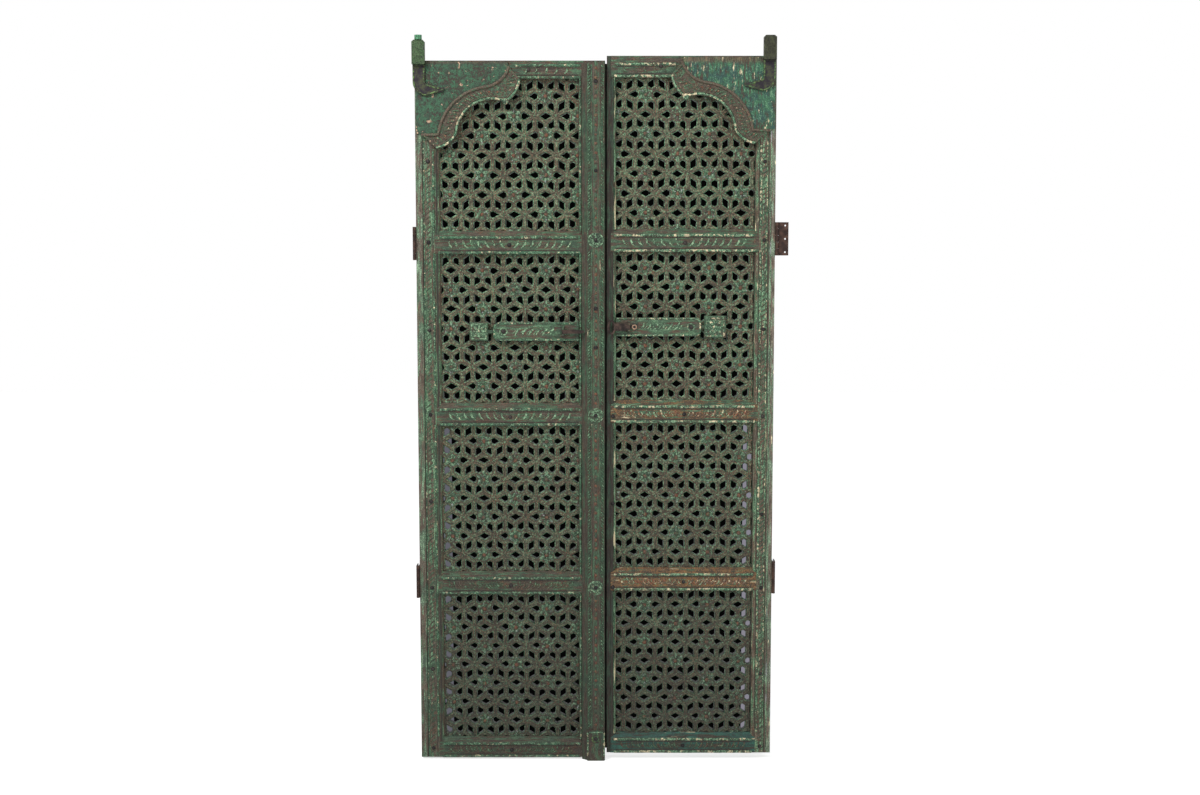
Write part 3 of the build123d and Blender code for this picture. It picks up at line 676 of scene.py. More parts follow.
def stroke(length, width, proud, curl, taper=0.0):
    # A curved raised cut, upright, fat end down when taper is positive
    deselectAll()
    bpy.ops.mesh.primitive_uv_sphere_add(segments=8, ring_count=8, radius=1)
    item = flatBacked(shaped("stroke", (width / 2, proud, length / 2)))
    if taper:
        applyModifier(item, "SIMPLE_DEFORM", deform_method="TAPER", angle=0, factor=taper, deform_axis="Z")
    applyModifier(item, "SIMPLE_DEFORM", deform_method="BEND", angle=math.radians(curl), deform_axis="Y")
    return item


def tube(points, y, radius, proud):
    # A round bead along a line, half sunk in the face at y
    line = bpy.data.curves.new("tube", "CURVE")
    line.dimensions = "3D"
    line.bevel_depth = radius
    line.bevel_resolution = 2
    line.use_fill_caps = True
    spline = line.splines.new("POLY")
    spline.points.add(len(points) - 1)
    for spot, point in zip(spline.points, points):
        spot.co = (point.x, 0, point.y, 1)
    item = bpy.data.objects.new("tube", line)
    bpy.context.scene.collection.objects.link(item)
    pick(item)
    bpy.ops.object.convert(target="MESH")
    return moved(shaped("tube", (1, proud / radius, 1)), 0, y, 0)


def dome(radius, proud, segments=14):
    deselectAll()
    bpy.ops.mesh.primitive_uv_sphere_add(segments=segments, ring_count=8, radius=1)
    return flatBacked(shaped("dome", (radius, radius, proud), (math.radians(90), 0, 0)))


def ring(radii, size=(1, 1, 0.8), turn=(math.radians(90), 0, 0), segments=28):
    deselectAll()
    bpy.ops.mesh.primitive_torus_add(major_segments=segments, minor_segments=8, major_radius=radii[0],
                                     minor_radius=radii[1])
    return shaped("ring", size, turn)


def placeCopies(item, spots):
    # spots are (x, y, z, turn, size); the pattern piece itself is used up
    copies = [moved(copyOf(item), *spot) for spot in spots]
    bpy.data.objects.remove(item)
    return joined(copies, "copies")


def finishPiece(item, leaf, name, paint, body=None, angle=carving["smoothAngle"]):
    standOn(leaf, item)
    item.name = item.data.name = leaf["prefix"] + name
    smooth(item, angle)
    dress(item, finishes[paint], body or leaf["body"])


railCarving = {
    "height": 0.070, "beads": (0.0045, 0.0505), "topBeads": (0.0045, 0.040), "footBeads": (0.003, 0.0425),
    "bead": (0.0040, 0.0030), "mitre": 0.006, "room": 0.001, "line": (0.0016, 0.0014), "lineGap": 0.0068,
    "band": (0.0275, 0.029), "footBand": (0.0225, 0.026), "pitch": 0.0225, "finePitch": 0.0165,
    "stroke": (0.035, 0.0062, 0.0026), "strokeHeight": 0.034, "lean": 32, "curl": 62, "taper": 0.5,
    "first": 0.024, "endRoom": 0.016, "small": 0.55, "smallGap": 0.0095, "smallDrop": 0.001,
    "smallProud": 0.7, "smallLean": 1.1,
}


def railStrokes(leaf, number, bottom, band, paint, pitch):
    # Comma strokes that lean towards the stud in the middle, with a smaller one inside each
    p = railCarving
    length, width, proud = p["stroke"]
    middle = leaf["stile"] + openingWidth / 2
    scale = band[1] / p["strokeHeight"]
    small = p["small"]
    large, smaller = [], []
    reach = openingWidth / 2 - p["endRoom"]
    for sign in (-1, 1):
        for k in range(int(reach / pitch) + 1):
            away = p["first"] + k * pitch * random.uniform(0.985, 1.015)
            if away > reach:
                continue
            x = middle + sign * away
            lean = math.radians(p["lean"]) * sign
            size = (-sign, 1, scale * random.uniform(0.94, 1.04))
            z = bottom + band[0] + random.uniform(-0.0008, 0.0008)
            large.append((x, 0, z, lean, size))
            smaller.append((x - sign * p["smallGap"], 0, z - p["smallDrop"], lean * p["smallLean"],
                            (-sign * small, 1, scale * small)))
    strokes = placeCopies(stroke(length, width, proud, p["curl"], p["taper"]), large)
    finishPiece(strokes, leaf, "railStrokes_" + number, paint)
    curls = placeCopies(stroke(length, width, proud * p["smallProud"], p["curl"], p["taper"]), smaller)
    finishPiece(curls, leaf, "railCurls_" + number, "warmCut" if paint == "warmCut" else "dimCut")


def railBeads(leaf, number, bottom, heights, startX=0.0):
    # The ends run out over the stiles' rounded edges as a mitre
    p = railCarving
    x0, x1 = leaf["stile"] + p["room"] + startX, leaf["stile"] + openingWidth - p["room"]
    low, high = bottom + heights[0], bottom + heights[1]
    beads = [bead((x0 - p["mitre"], 0, z), (x1 + p["mitre"], 0, z), *p["bead"]) for z in (low, high)]
    finishPiece(joined(beads, "beads"), leaf, "railBeads_" + number, leaf["bead"])
    # The thin fillets are painted near black, as painted shadow lines beside the beads
    thin = [bead((x0, 0, z), (x1, 0, z), *p["line"]) for z in (low + p["lineGap"], high - p["lineGap"])]
    finishPiece(joined(thin, "thin"), leaf, "railFillets_" + number, "brownBead")


for leaf in leaves:
    p = railCarving
    for number in (1, 2, 3):
        bottom = leaf["bottoms"][number - 1] - p["height"]
        pitch = p["pitch"] if number < 3 else p["finePitch"]
        railBeads(leaf, str(number), bottom, p["beads"])
        railStrokes(leaf, str(number), bottom, p["band"], leaf["cuts"][number - 1], pitch)
    railBeads(leaf, "top", leafHeight - leaf["topRail"], p["topBeads"], leaf["archEnd"])
    railBeads(leaf, "foot", 0, p["footBeads"])
    railStrokes(leaf, "foot", 0, p["footBand"], "dimCut", p["finePitch"])
print("rails carved")


stileCarving = {
    "bead": (0.0034, 0.0030), "inner": 0.0185, "railMiddle": 0.035, "railHalf": 0.031, "foot": 0.066,
    "archFoot": 0.262, "outer": 0.0245, "line": (0.0018, 0.0016), "lineEnds": (0.004, 0.02),
    "rimPlace": 0.0135, "rim": (0.0015, 0.0014), "rimEnds": (0.010, 0.04),
    "pitch": 0.0152, "stroke": (0.026, 0.0048, 0.0020), "curl": 35, "taper": 0.3, "tilt": 50, "first": 0.020,
}
meetingCarving = {
    "left": {"place": 0.0050, "deep": 0.0, "bead": (0.0030, 0.0030), "past": 0.004, "paint": "leftBead"},
    "right": {"place": 0.0036, "deep": 0.012, "bead": (0.0040, 0.0105), "past": 0.002, "paint": "creamBead"},
}


def hingeStileCarving(leaf):
    p = stileCarving
    inner, outer = leaf["stile"] - p["inner"], p["outer"]
    topEnd = leafHeight - p["archFoot"]
    runs, low = [], p["foot"]
    for z in sorted(b - p["railMiddle"] for b in leaf["bottoms"][:3]) + [topEnd + p["railHalf"]]:
        high = z - p["railHalf"]
        runs.append((low, high))
        low = high + 2 * p["railHalf"]
    beads = [bead((inner, 0, a), (inner, 0, b), *p["bead"], 40) for a, b in runs]
    finishPiece(joined(beads, "beads"), leaf, "stileBead", leaf["bead"])
    start, past = p["lineEnds"]
    thin = bead((outer, 0, start), (outer, 0, topEnd + past), *p["line"], 120)
    finishPiece(thin, leaf, "stileLine", leaf["bead"])
    if leaf is rightLeaf:
        start, past = p["rimEnds"]
        thin = bead((p["rimPlace"], 0, start), (p["rimPlace"], 0, topEnd + past), *p["rim"], 120)
        finishPiece(thin, leaf, "stileRim", "rim")
    middle = (inner - 0.005 + outer) / 2
    spots, z = [], p["first"]
    while z < topEnd:
        tilt = math.radians(p["tilt"] + random.uniform(-6, 6)) * leaf["way"]
        size = random.uniform(0.8, 1.0)
        spots.append((middle + random.uniform(-0.0008, 0.0008), 0, z, tilt, (size, random.uniform(0.6, 1), size)))
        z += p["pitch"] * random.uniform(0.9, 1.1)
    cuts = placeCopies(stroke(*p["stroke"], p["curl"], p["taper"]), spots)
    finishPiece(cuts, leaf, "stileCuts", "stripRidge")


def meetingStileBead(leaf, place, deep, size, past, paint):
    runs = [(b - past, b + leaf["opening"] + past) for b in leaf["bottoms"]]
    x = leaf["width"] - leaf["meeting"] + place
    beads = [bead((x, deep, a), (x, deep, b), *size, 40) for a, b in runs]
    finishPiece(joined(beads, "beads"), leaf, "meetingBead", paint)


for leaf in leaves:
    hingeStileCarving(leaf)
for leaf, key in ((leftLeaf, "left"), (rightLeaf, "right")):
    p = meetingCarving[key]
    meetingStileBead(leaf, p["place"], p["deep"], p["bead"], p["past"], p["paint"])
print("stiles carved")


# Cover strip on the left leaf: a column of red beads between ridges, feathered cuts and rosettes

stripCarving = {
    "face": -0.016, "middle": 0.542, "foot": 0.096, "top": 2.122, "pitch": 0.0278,
    "ridgePlace": 0.0130, "ridge": (0.0022, 0.0019), "edgePlace": 0.0235, "edge": (0.0017, 0.0014),
    "edgeEnds": (0.092, 2.124), "edgeSunk": 0.0006, "red": (0.0048, 0.0032), "firstRed": 0.012, "lastRed": 0.008,
    "link": (0.015, 0.0085, 0.0018), "feather": (0.0150, 0.0040, 0.0024), "featherPlace": 0.0198,
    "featherPitch": 0.0098, "featherLean": 40, "firstFeather": 0.008, "lastFeather": 0.004,
    "rosettes": (1.601, 1.070, 0.538), "rosetteGap": 0.026, "rosetteRing": (0.0215, 0.0030),
    "petal": (0.0100, 0.0062, 0.0028), "petalReach": 0.0150, "petals": 12, "disc": (0.0185, 0.0012),
}
stripBlock = {"face": -0.020, "half": 0.0252, "foot": 0.006, "top": 0.084, "topHalf": 0.022,
              "edge": (0.0026, 0.0022), "ring": (0.0115, 0.0022)}
studs = {
    "radius": 0.0062, "proud": 0.0046, "railDrop": 0.0425, "footRail": 0.0225, "armPlace": 0.228,
    "left": {"stilePlace": 0.0375, "stile": (1.836, 1.594, 1.328, 1.071, 0.803, 0.535, 0.280, 0.029),
             "top": (0.06, 2.108)},
    "right": {"stilePlace": 0.0325, "stile": (1.822, 1.587, 1.318, 1.052, 0.750, 0.521, 0.251, 0.020),
              "top": (0.075, 2.105)},
    "strip": (2.072, 1.808, 1.395, 1.277), "stripFoot": 0.063, "rosetteFace": -0.0172,
    "meetingPlace": 0.0195, "meeting": (1.052, 0.783, 0.522),
}


def circle(count, reach, x=0.0, y=0.0, z=0.0):
    # Spots round a middle, each turned to point outward
    turns = [2 * math.pi * k / count for k in range(count)]
    return [(x + math.cos(a) * reach, y, z + math.sin(a) * reach, -a + math.pi / 2) for a in turns]


def stripRuns():
    p = stripCarving
    gap = p["rosetteGap"]
    stops = [p["foot"]] + [v for z in sorted(p["rosettes"]) for v in (z - gap, z + gap)] + [p["top"]]
    return list(zip(stops[::2], stops[1::2]))


def coverStripCarving():
    p = stripCarving
    y, x = p["face"], p["middle"]
    ridges, redSpots, featherSpots, linkSpots = [], [], [], []
    for low, high in stripRuns():
        for sign in (-1, 1):
            place = x + sign * p["ridgePlace"]
            ridges.append(bead((place, y, low), (place, y, high), *p["ridge"], 50))
        z = low + p["firstRed"]
        while z < high - p["lastRed"]:
            redSpots.append((x, y, z, 0, (1, 1, random.uniform(0.85, 1.15))))
            linkSpots.append((x, y, z + p["pitch"] / 2))
            z += p["pitch"]
        z = low + p["firstFeather"]
        while z < high - p["lastFeather"]:
            for sign in (-1, 1):
                size = random.uniform(0.85, 1.05)
                featherSpots.append((x + sign * p["featherPlace"], y, z, -sign * math.radians(p["featherLean"]),
                                     (sign * size, 1, size)))
            z += p["featherPitch"]
    finishPiece(joined(ridges, "ridges"), leftLeaf, "stripRidges", "stripRidge")
    y += p["edgeSunk"]
    edges = [bead((place, y, p["edgeEnds"][0]), (place, y, p["edgeEnds"][1]), *p["edge"], 120)
             for place in (x - p["edgePlace"], x + p["edgePlace"])]
    finishPiece(joined(edges, "edges"), leftLeaf, "stripEdges", "stripRidge")
    finishPiece(placeCopies(dome(*p["red"], 10), redSpots), leftLeaf, "stripBeads", "boss")
    finishPiece(placeCopies(stroke(*p["link"], 1), linkSpots), leftLeaf, "stripLinks", "stripRidge")
    finishPiece(placeCopies(stroke(*p["feather"], 30, 0.3), featherSpots), leftLeaf, "stripFeathers", "feather")


def rosette(z):
    p = stripCarving
    petals = placeCopies(stroke(*p["petal"], 1), circle(p["petals"], p["petalReach"]))
    item = joined([ring(p["rosetteRing"], (1, 0.92, 0.8), segments=32), petals, dome(*p["disc"], 24)], "rosette")
    moved(item, p["middle"], p["face"], z)
    finishPiece(item, leftLeaf, "stripRosette_" + str(int(z * 1000)), "rosette")


def stripFoot():
    # The block at the strip's foot: pale edges and a ring round its stud
    p = stripBlock
    y, x = p["face"], stripCarving["middle"]
    edges = [bead((x + s * p["half"], y, p["foot"]), (x + s * p["half"], y, p["top"]), *p["edge"], 10)
             for s in (-1, 1)]
    edges.append(bead((x - p["topHalf"], y, p["top"]), (x + p["topHalf"], y, p["top"]), *p["edge"], 8))
    finishPiece(joined(edges, "edges"), leftLeaf, "stripFootEdges", "rightBead")
    finishPiece(moved(ring(p["ring"]), x, y, studs["stripFoot"]), leftLeaf, "stripFootRing", "mossy")


coverStripCarving()
for z in stripCarving["rosettes"]:
    rosette(z)
stripFoot()
print("cover strip carved")


# Latch arms: a border, strokes that fan from the staple and a ring at the free end; then the square block
# beyond each arm, with a raised rim and a flower

armCarving = {
    "face": -0.004, "centre": 1.325, "length": 0.259, "firstStroke": 0.082, "lastStroke": 0.062,
    "pitch": 0.021, "stroke": (0.030, 0.0058, 0.0022), "curl": 55, "taper": 0.45, "leans": (34, 38),
    "small": (0.6, 0.8, 0.6), "smallGap": 0.0085, "smallDrop": 0.002, "smallLean": 1.2,
    "edgeHalf": 0.0252, "corner": 0.0150, "edgeEnds": (0.0030, 0.002), "edge": (0.0029, 0.0024),
    "ring": (0.0105, 0.0018), "ringPlace": 0.031,
}
blockCarving = {"face": -0.002, "margin": 0.006, "rim": (0.0022, 0.0018), "reach": 0.23, "petal": (0.30, 0.14),
                "petalProud": 0.0026, "boss": 0.10, "bossProud": 0.0032, "petals": 8}


def armDetail(leaf):
    p = armCarving
    y, centre = p["face"], p["centre"]
    meeting = leaf["width"] - leaf["meeting"]
    spots, k = [], 0
    x = meeting - p["firstStroke"]
    while x > meeting - p["length"] + p["lastStroke"]:
        lean = math.radians(p["leans"][k % 2]) * leaf["way"]
        spots.append((x, y, centre, lean, (1, 1, random.uniform(0.9, 1.05))))
        spots.append((x - p["smallGap"], y, centre - p["smallDrop"], lean * p["smallLean"], p["small"]))
        x -= p["pitch"]
        k += 1
    finishPiece(placeCopies(stroke(*p["stroke"], p["curl"], p["taper"]), spots), leaf, "armStrokes", "greenCut")
    # The edge runs round the arm's free end
    half, corner = p["edgeHalf"], p["corner"]
    x0, x1 = meeting - p["length"] + p["edgeEnds"][0], meeting - p["edgeEnds"][1]
    line = [Vector((x1 + (x0 + corner - x1) * k / 12, centre + half)) for k in range(12)]
    for z, first in ((centre + half - corner, 90), (centre - half + corner, 180)):
        line += [Vector((x0 + corner + math.cos(a) * corner, z + math.sin(a) * corner))
                 for a in (math.radians(first + 15 * k) for k in range(7))]
    line += [Vector((x0 + corner + (x1 - x0 - corner) * k / 12, centre - half)) for k in range(1, 13)]
    finishPiece(tube(line, y, *p["edge"]), leaf, "armEdge", leaf["bead"])
    item = moved(ring(p["ring"]), meeting - p["length"] + p["ringPlace"], y, centre)
    finishPiece(item, leaf, "armRing", "greenCut")


def blockDetail(leaf, gap, size, paint):
    p = blockCarving
    x = leaf["width"] - leaf["meeting"] - armCarving["length"] - gap - size / 2
    z, y, half = armCarving["centre"], p["face"], size / 2 - p["margin"]
    low, high, near, far = z - half, z + half, x - half, x + half
    rim = [bead((a, y, b), (c, y, d), *p["rim"], 6) for a, b, c, d in (
        (near, low, far, low), (near, high, far, high), (near, low, near, high), (far, low, far, high))]
    along, across = p["petal"]
    petal = stroke(size * along, size * across, p["petalProud"], 1)
    flower = placeCopies(petal, circle(p["petals"], size * p["reach"], x, y, z))
    boss = moved(dome(size * p["boss"], p["bossProud"]), x, y, z)
    finishPiece(joined(rim + [flower, boss], "block"), leaf, "blockFlower", paint)


armDetail(leftLeaf)
armDetail(rightLeaf)
blockDetail(leftLeaf, 0.016, 0.056, "greenCut")
blockDetail(rightLeaf, 0.0095, 0.066, "rightBead")
print("latch arms carved")


# Round-headed iron studs

def placeStuds(leaf, spots):
    heads = placeCopies(dome(studs["radius"], studs["proud"]), [
        (*spot, 0, (random.uniform(0.9, 1.1), 1, random.uniform(0.9, 1.1))) for spot in spots])
    finishPiece(heads, leaf, "studs", "stud", angle=60)


def studSpots(leaf, key):
    # The stile's and rails' studs, then the arm's, the foot rail's and the top rail's
    p = studs[key]
    middle = leaf["stile"] + openingWidth / 2
    spots = [(p["stilePlace"], 0, z) for z in p["stile"]]
    spots += [(middle, 0, b - studs["railDrop"]) for b in leaf["bottoms"][:3]]
    arm = (leaf["width"] - leaf["meeting"] - studs["armPlace"], armCarving["face"], armCarving["centre"])
    return spots, arm, (middle, 0, studs["footRail"]), (middle + p["top"][0], 0, p["top"][1])


x = stripCarving["middle"]
stripSpots = [(x, stripCarving["face"], z) for z in studs["strip"]]
stripSpots += [(x, stripBlock["face"], studs["stripFoot"])]
stripSpots += [(x, studs["rosetteFace"], z) for z in stripCarving["rosettes"]]
meetingSpots = [(rightLeaf["width"] - studs["meetingPlace"], 0, z) for z in studs["meeting"]]
spots, arm, foot, top = studSpots(leftLeaf, "left")
placeStuds(leftLeaf, spots + [top] + stripSpots + [arm, foot])
spots, arm, foot, top = studSpots(rightLeaf, "right")
placeStuds(rightLeaf, spots + [foot] + meetingSpots + [arm, top])
print("studs driven")


# Arch: a bright bead along its inner line, a brown roll along the outer one and cuts between them. Its
# points are across from the hinge edge and up from the leaf's foot.

archCarving = {
    "front": -0.012, "field": -0.009, "foot": (0.0645, 1.874), "crown": (0.316, 2.079),
    "shoulder": (0.020, 1.919), "outerCrown": (0.2795, 2.119),
    "footLobe": (0.040, 0.017), "lowCusp": (0.062, 0.045), "middleLobe": (0.091, -0.093),
    "highCusp": (-0.044, -0.067), "crownLobe": (-0.017, -0.045), "elbow": (0.047, 0),
    "outerLobe": (0.086, -0.114), "outerCusp": (-0.064, -0.058), "outerCrownLobe": (-0.022, -0.036),
    "inset": 0.0034, "bead": (0.0036, 0.0030), "roll": (0.0044, 0.0042), "thinGap": 0.0062, "thin": (0.0020, 0.0022),
    "pitch": 0.0125, "cut": (0.026, 0.0056, 0.0026), "curl": 40, "taper": 0.4, "lean": 52,
    "dot": (0.0030, 0.0020), "dotShift": 0.004, "cuspPoint": 34, "knot": (0.0095, 0.0048), "knotRise": 0.002,
    "middleStep": 0.0062, "middleCount": 60,
}


def arcPoints(a, b, c, count=14):
    # Points from a to c on the circle through b
    ab, bc = Vector(b) - Vector(a), Vector(c) - Vector(b)
    cross = ab.x * bc.y - ab.y * bc.x
    # Where the perpendiculars through the middles of the two chords meet
    gap = (Vector(c) - Vector(a)) / 2
    reach = (gap.x * bc.x + gap.y * bc.y) / cross
    centre = (Vector(a) + Vector(b)) / 2 + Vector((-ab.y, ab.x)) * reach
    start = math.atan2(a[1] - centre.y, a[0] - centre.x)
    turn = math.atan2(c[1] - centre.y, c[0] - centre.x) - start
    while turn * cross < 0:
        turn += math.copysign(2 * math.pi, cross)
    while abs(turn) > 2 * math.pi:
        turn -= math.copysign(2 * math.pi, turn)
    radius = (Vector(a) - centre).length
    return [centre + Vector((math.cos(start + turn * k / count), math.sin(start + turn * k / count))) * radius
            for k in range(count + 1)]


def archPoint(corner, name):
    # A named offset from a named corner
    a, b = archCarving[corner], archCarving[name]
    return (a[0] + b[0], a[1] + b[1])


def archLines():
    p = archCarving
    foot, crown, shoulder, outerCrown = p["foot"], p["crown"], p["shoulder"], p["outerCrown"]
    low, high = archPoint("foot", "lowCusp"), archPoint("crown", "highCusp")
    inner = arcPoints(foot, archPoint("foot", "footLobe"), low)
    inner += arcPoints(low, (foot[0] + p["middleLobe"][0], crown[1] + p["middleLobe"][1]), high, 20)[1:]
    inner += arcPoints(high, archPoint("crown", "crownLobe"), crown)[1:]
    elbow, bend = archPoint("shoulder", "elbow"), archPoint("outerCrown", "outerCusp")
    outer = [Vector(shoulder) + (Vector(elbow) - Vector(shoulder)) * k / 6 for k in range(6)]
    outer += arcPoints(elbow, (shoulder[0] + p["outerLobe"][0], outerCrown[1] + p["outerLobe"][1]), bend, 20)
    outer += arcPoints(bend, archPoint("outerCrown", "outerCrownLobe"), outerCrown, 12)[1:]
    return inner, outer


def shifted(points, amount):
    # The same line moved sideways, to its left for a positive amount
    out = []
    for k, point in enumerate(points):
        along = points[min(k + 1, len(points) - 1)] - points[max(k - 1, 0)]
        out.append(point + Vector((-along.y, along.x)).normalized() * amount)
    return out


def spread(points, pitch):
    # Spots at an even pitch along a line, each with the line's direction there
    spots, left = [], pitch / 2
    for a, b in zip(points, points[1:]):
        length = (b - a).length
        while left < length:
            spots.append((a + (b - a) * left / length, math.atan2(b.x - a.x, b.y - a.y)))
            left += pitch
        left -= length
    return spots


def middleLine(inner, outer):
    # Half way between two lines, paired by their share of the way along
    step, count = archCarving["middleStep"], archCarving["middleCount"]
    first, second = ([spot for spot, turn in spread(line, step)][:count] for line in (inner, outer))
    share = len(second) / len(first)
    return [(a + second[min(int(k * share), len(second) - 1)]) / 2 for k, a in enumerate(first)]


def archDetail(leaf):
    p = archCarving
    inner, outer = archLines()
    finishPiece(tube(shifted(inner, p["inset"]), p["front"], *p["bead"]), leaf, "archBead", "archBead")
    rolls = [tube(shifted(outer, -p["roll"][0]), p["front"] + 0.001, *p["roll"]),
             tube(shifted(inner, p["inset"] + p["thinGap"]), p["field"] - 0.001, *p["thin"])]
    finishPiece(joined(rolls, "rolls"), leaf, "archRoll", "archEdge")
    cuts, dots = [], []
    for k, (spot, turn) in enumerate(spread(middleLine(inner, outer), p["pitch"])):
        size = random.uniform(0.85, 1.05)
        cuts.append((spot.x, p["field"], spot.y, turn + math.radians(p["lean"]), (size, 1, size)))
        if k % 2:
            dots.append((spot.x + p["dotShift"], p["field"], spot.y + p["dotShift"]))
    finishPiece(placeCopies(stroke(*p["cut"], p["curl"], p["taper"]), cuts), leaf, "archCuts", "dimCut")
    finishPiece(placeCopies(dome(*p["dot"], 8), dots), leaf, "archDots", "warmCut")
    cusp = inner[p["cuspPoint"]]
    knot = moved(dome(*p["knot"]), cusp.x, p["front"], cusp.y + p["knotRise"])
    finishPiece(knot, leaf, "archKnot", "archBead")


for leaf in leaves:
    archDetail(leaf)
print("arches carved")


# Strokes on the top rail, beyond the arch

topCarving = {"start": 0.335, "pitch": 0.030, "count": 6, "room": 0.006, "rise": 0.0222, "lean": 26, "size": 0.62}


def topStrokes(leaf, paint):
    p = topCarving
    end = leaf["stile"] + openingWidth - p["room"]
    z = leafHeight - leaf["topRail"] + p["rise"]
    places = [p["start"] + p["pitch"] * k for k in range(p["count"])]
    spots = [(x, 0, z, math.radians(p["lean"]), (-1, 1, p["size"])) for x in places if x < end]
    cuts = placeCopies(stroke(*railCarving["stroke"], railCarving["curl"], railCarving["taper"]), spots)
    finishPiece(cuts, leaf, "topStrokes", paint)


topStrokes(leftLeaf, "greenCut")
topStrokes(rightLeaf, "dimCut")


# Pivot brackets: raised edges along the strap

bracketCarving = {"front": -0.013, "sunk": 0.0006, "width": 0.036, "bend": 2.073, "inner": 0.010, "angle": 78,
                  "tail": 0.050, "inset": 0.0022, "narrowing": 0.0028, "straight": (2.120, 2.096), "tip": 0.003,
                  "edge": (0.0026, 0.0024)}


def bracketDetail(leaf, outset):
    p = bracketCarving
    x0, inset = -outset, p["inset"]
    x1 = x0 + p["width"]
    centre = Vector((x1 + p["inner"], p["bend"]))
    turns = [math.radians(p["angle"]) * k / 10 for k in range(11)]
    sides = []
    for radius, x, taper in ((p["inner"] + p["width"] - inset, x0 + inset, p["narrowing"]),
                             (p["inner"] + inset, x1 - inset, 0)):
        line = [Vector((x, z)) for z in p["straight"]]
        line += [centre - Vector((math.cos(t), math.sin(t))) * (radius - taper * t / turns[-1]) for t in turns]
        sides.append(line)
    tail = Vector((math.sin(turns[-1]), -math.cos(turns[-1]))) * p["tail"]
    tip = sides[1][-1] + tail - Vector((p["tip"], p["tip"]))
    for line, count in zip(sides, (4, 3)):
        last = line[-1]
        line += [last + (tip - last) * k / 4 for k in range(1, count + 1)]
    edges = [tube(line, p["front"] + p["sunk"], *p["edge"]) for line in sides]
    finishPiece(joined(edges, "edges"), leaf, "bracketEdges", "mossy")


bracketDetail(leftLeaf, 0.004)
bracketDetail(rightLeaf, -0.004)
print("brackets carved")


# Hasps: the left one's twisted bar, the right one's bands and the eye of its staple

haspCarving = {
    "height": 1.325, "middle": -0.016, "twistStart": 0.1175, "twistPitch": 0.0062, "twists": 7,
    "twist": (0.0050, 0.0013), "twistTaper": 0.0002, "twistLean": 62, "twistFlat": 0.72,
    "bandStart": 0.0675, "bands": (0.018, 0.030, 0.040), "bandFace": -0.0186, "bandHalf": 0.0098,
    "band": (0.0018, 0.0016), "eyeGap": 0.0165, "eyeFace": -0.0075, "eye": (0.0060, 0.0019),
    "holeFace": -0.0068, "hole": (0.0050, 0.0008),
}


def haspDetail():
    p = haspCarving
    z, side = p["height"], p["bandHalf"]
    start = leftLeaf["width"] - p["twistStart"]
    major, minor = p["twist"]
    twists = [moved(ring((major - p["twistTaper"] * k, minor), (1, p["twistFlat"], 1),
                         (0, math.radians(p["twistLean"]), 0), 20), start + p["twistPitch"] * k, p["middle"], z)
              for k in range(p["twists"])]
    finishPiece(joined(twists, "twists"), leftLeaf, "haspTwist", "hasp", "left_hasp")
    start = rightLeaf["width"] - p["bandStart"]
    bands = [bead((start + x, p["bandFace"], z - side), (start + x, p["bandFace"], z + side), *p["band"], 6)
             for x in p["bands"]]
    finishPiece(joined(bands, "bands"), rightLeaf, "haspBands", "hasp", "right_hasp")
    x = start - p["eyeGap"]
    eye = moved(ring(p["eye"], (1, 1, 1), segments=20), x, p["eyeFace"], z)
    finishPiece(eye, rightLeaf, "stapleEye", "eye")
    # Painted shade: a near-black dome stands for the hole in the staple's eye
    finishPiece(moved(dome(*p["hole"]), x, p["holeFace"], z), rightLeaf, "stapleHole", "soot")


haspDetail()
print("hasps detailed")


# Floor, backdrop, painted shade and painted light cards, lamps and camera

stageLook = {
    "floor": -0.5616, "glow": 0.62, "sky": 0.45, "cardY": 0.0425, "litWidth": 0.026, "seamDrop": 0.035,
    # The card tones: painted shade behind the lattice, painted light for the lit wall behind the outer holes
    "shadowTone": (0.0015, 0.0015, 0.0015), "pale": {1: (0.12, 0.12, 0.14), -1: (0.24, 0.23, 0.27)},
    "gapShadowCard": (-0.010, 0.012, 0.016, 2.130),
    "keyLamp": ((-1.2, -2.6, 3.4), (0.5, 0, 0.5), 1.4, 105), "fillLamp": ((2.9, -3.0, 1.6), (0.5, 0, 0.4), 2.0, 30),
    "camera": (0.5647, -5.0194, 1.0594), "tilt": 84.4, "lens": 49.5, "sensor": 36,
}


def card(leaf, x0, x1, low, high, finish):
    # A card behind the door, seen only by the camera and only from the front; it glows in its own tone, painted
    # shade or painted light
    deselectAll()
    bpy.ops.mesh.primitive_plane_add(size=1, location=((x0 + x1) / 2, stageLook["cardY"], (low + high) / 2))
    item = shaped(leaf["prefix"] + "card", (x1 - x0, high - low, 1), (math.radians(90), 0, 0))
    standOn(leaf, item)
    item.data.materials.append(finish)
    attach(item, leaf["body"])


def cardMaterial(name, tone):
    finish = Finish(name)
    path = finish.node("ShaderNodeLightPath", output="Is Camera Ray")
    behind = finish.node("ShaderNodeNewGeometry", output="Backfacing")
    clear = finish.node("ShaderNodeBsdfTransparent")
    plain = finish.node("ShaderNodeEmission", None, {"Color": tone, "Strength": 1.0})
    mixed = finish.node("ShaderNodeMixShader", None, {0: path * (1 - behind), 1: clear, 2: plain})
    finish.node("ShaderNodeOutputMaterial", None, {0: mixed})
    return finish.material


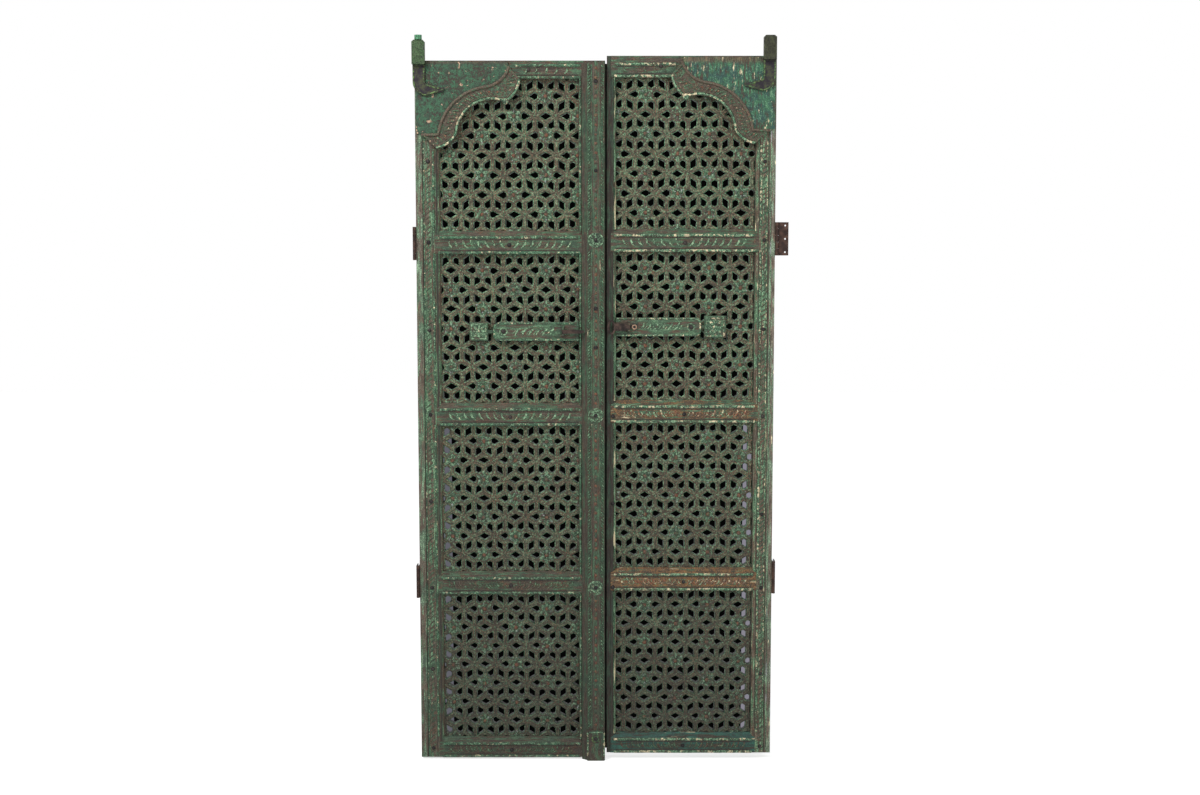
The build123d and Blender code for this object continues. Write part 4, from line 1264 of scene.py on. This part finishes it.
def placeCards():
    # Painted shade: a near-black glowing card behind the lattice and the gap between the leaves, where only shadow
    # lies;
    # painted light: a pale glowing card behind the lower panels' outer holes, for the lit wall seen through them
    shadowCard = cardMaterial("shadowCard", stageLook["shadowTone"])
    for leaf in leaves:
        paleCard = cardMaterial(leaf["prefix"] + "paleCard", stageLook["pale"][leaf["way"]])
        start, end = leaf["stile"], leaf["stile"] + openingWidth + 0.001
        between = start + stageLook["litWidth"]
        low, high = leaf["bottoms"][3], leaf["bottoms"][0] + leaf["opening"]
        seam = leaf["bottoms"][1] - stageLook["seamDrop"]
        card(leaf, start, end, seam, high, shadowCard)
        card(leaf, between, end, low, seam, shadowCard)
        card(leaf, start, between, low, seam, paleCard)
    near, far, low, high = stageLook["gapShadowCard"]
    card(leftLeaf, leftLeaf["width"] + near, leftLeaf["width"] + far, low, high, shadowCard)


def seenRays(finish):
    # Rays that show the background: straight from the camera, or by way of metal and glass
    rays = [finish.node("ShaderNodeLightPath", output=name) for name in
            ("Is Camera Ray", "Is Glossy Ray", "Is Transmission Ray")]
    return (rays[0] + rays[1] + rays[2]).clamped()


def floorPlane():
    # Pale and lit, with enough light of its own to read as white and keep the door's shadow
    deselectAll()
    bpy.ops.mesh.primitive_plane_add(size=24, location=(0.56, 0, stageLook["floor"]))
    floor = settle(named("floor"))
    finish = Finish("paleFloor")
    plain = finish.node("ShaderNodeBsdfDiffuse", None, {"Color": (0.86, 0.86, 0.86)})
    glow = finish.node("ShaderNodeEmission", None, {"Color": (1, 1, 1), "Strength": stageLook["glow"]})
    none = finish.node("ShaderNodeEmission", None, {"Color": (0, 0, 0), "Strength": 0.0})
    added = finish.node("ShaderNodeMixShader", None, {0: seenRays(finish), 1: none, 2: glow})
    total = finish.node("ShaderNodeAddShader", None, {0: plain, 1: added})
    finish.node("ShaderNodeOutputMaterial", None, {0: total})
    floor.data.materials.append(finish.material)


def studioWorld():
    world = bpy.data.worlds.new("studio")
    bpy.context.scene.world = world
    world.use_nodes = True
    finish = Finish("studio", world.node_tree)
    dim = finish.node("ShaderNodeBackground", None, {"Color": (1, 1, 1), "Strength": stageLook["sky"]})
    bright = finish.node("ShaderNodeBackground", None, {"Color": (1, 1, 1), "Strength": 1.0})
    mixed = finish.node("ShaderNodeMixShader", None, {0: seenRays(finish), 1: dim, 2: bright})
    finish.node("ShaderNodeOutputWorld", None, {0: mixed})


def softLamp(name, place, aim, size, power):
    deselectAll()
    bpy.ops.object.light_add(type="AREA", location=place)
    lamp = bpy.context.object
    lamp.name = name
    lamp.data.shape = "SQUARE"
    lamp.data.size = size
    lamp.data.energy = power
    lamp.rotation_euler = (Vector(aim) - Vector(place)).to_track_quat("-Z", "Y").to_euler()


placeCards()
floorPlane()
studioWorld()
for name in ("keyLamp", "fillLamp"):
    softLamp(name, *stageLook[name])
cameraData = bpy.data.cameras.new("camera")
cameraData.lens = stageLook["lens"]
cameraData.sensor_width = stageLook["sensor"]
camera = bpy.data.objects.new("camera", cameraData)
bpy.context.scene.collection.objects.link(camera)
camera.location = stageLook["camera"]
camera.rotation_euler = (math.radians(stageLook["tilt"]), 0, 0)
bpy.context.scene.camera = camera
bpy.context.scene.view_settings.view_transform = "Standard"
print("stage set")
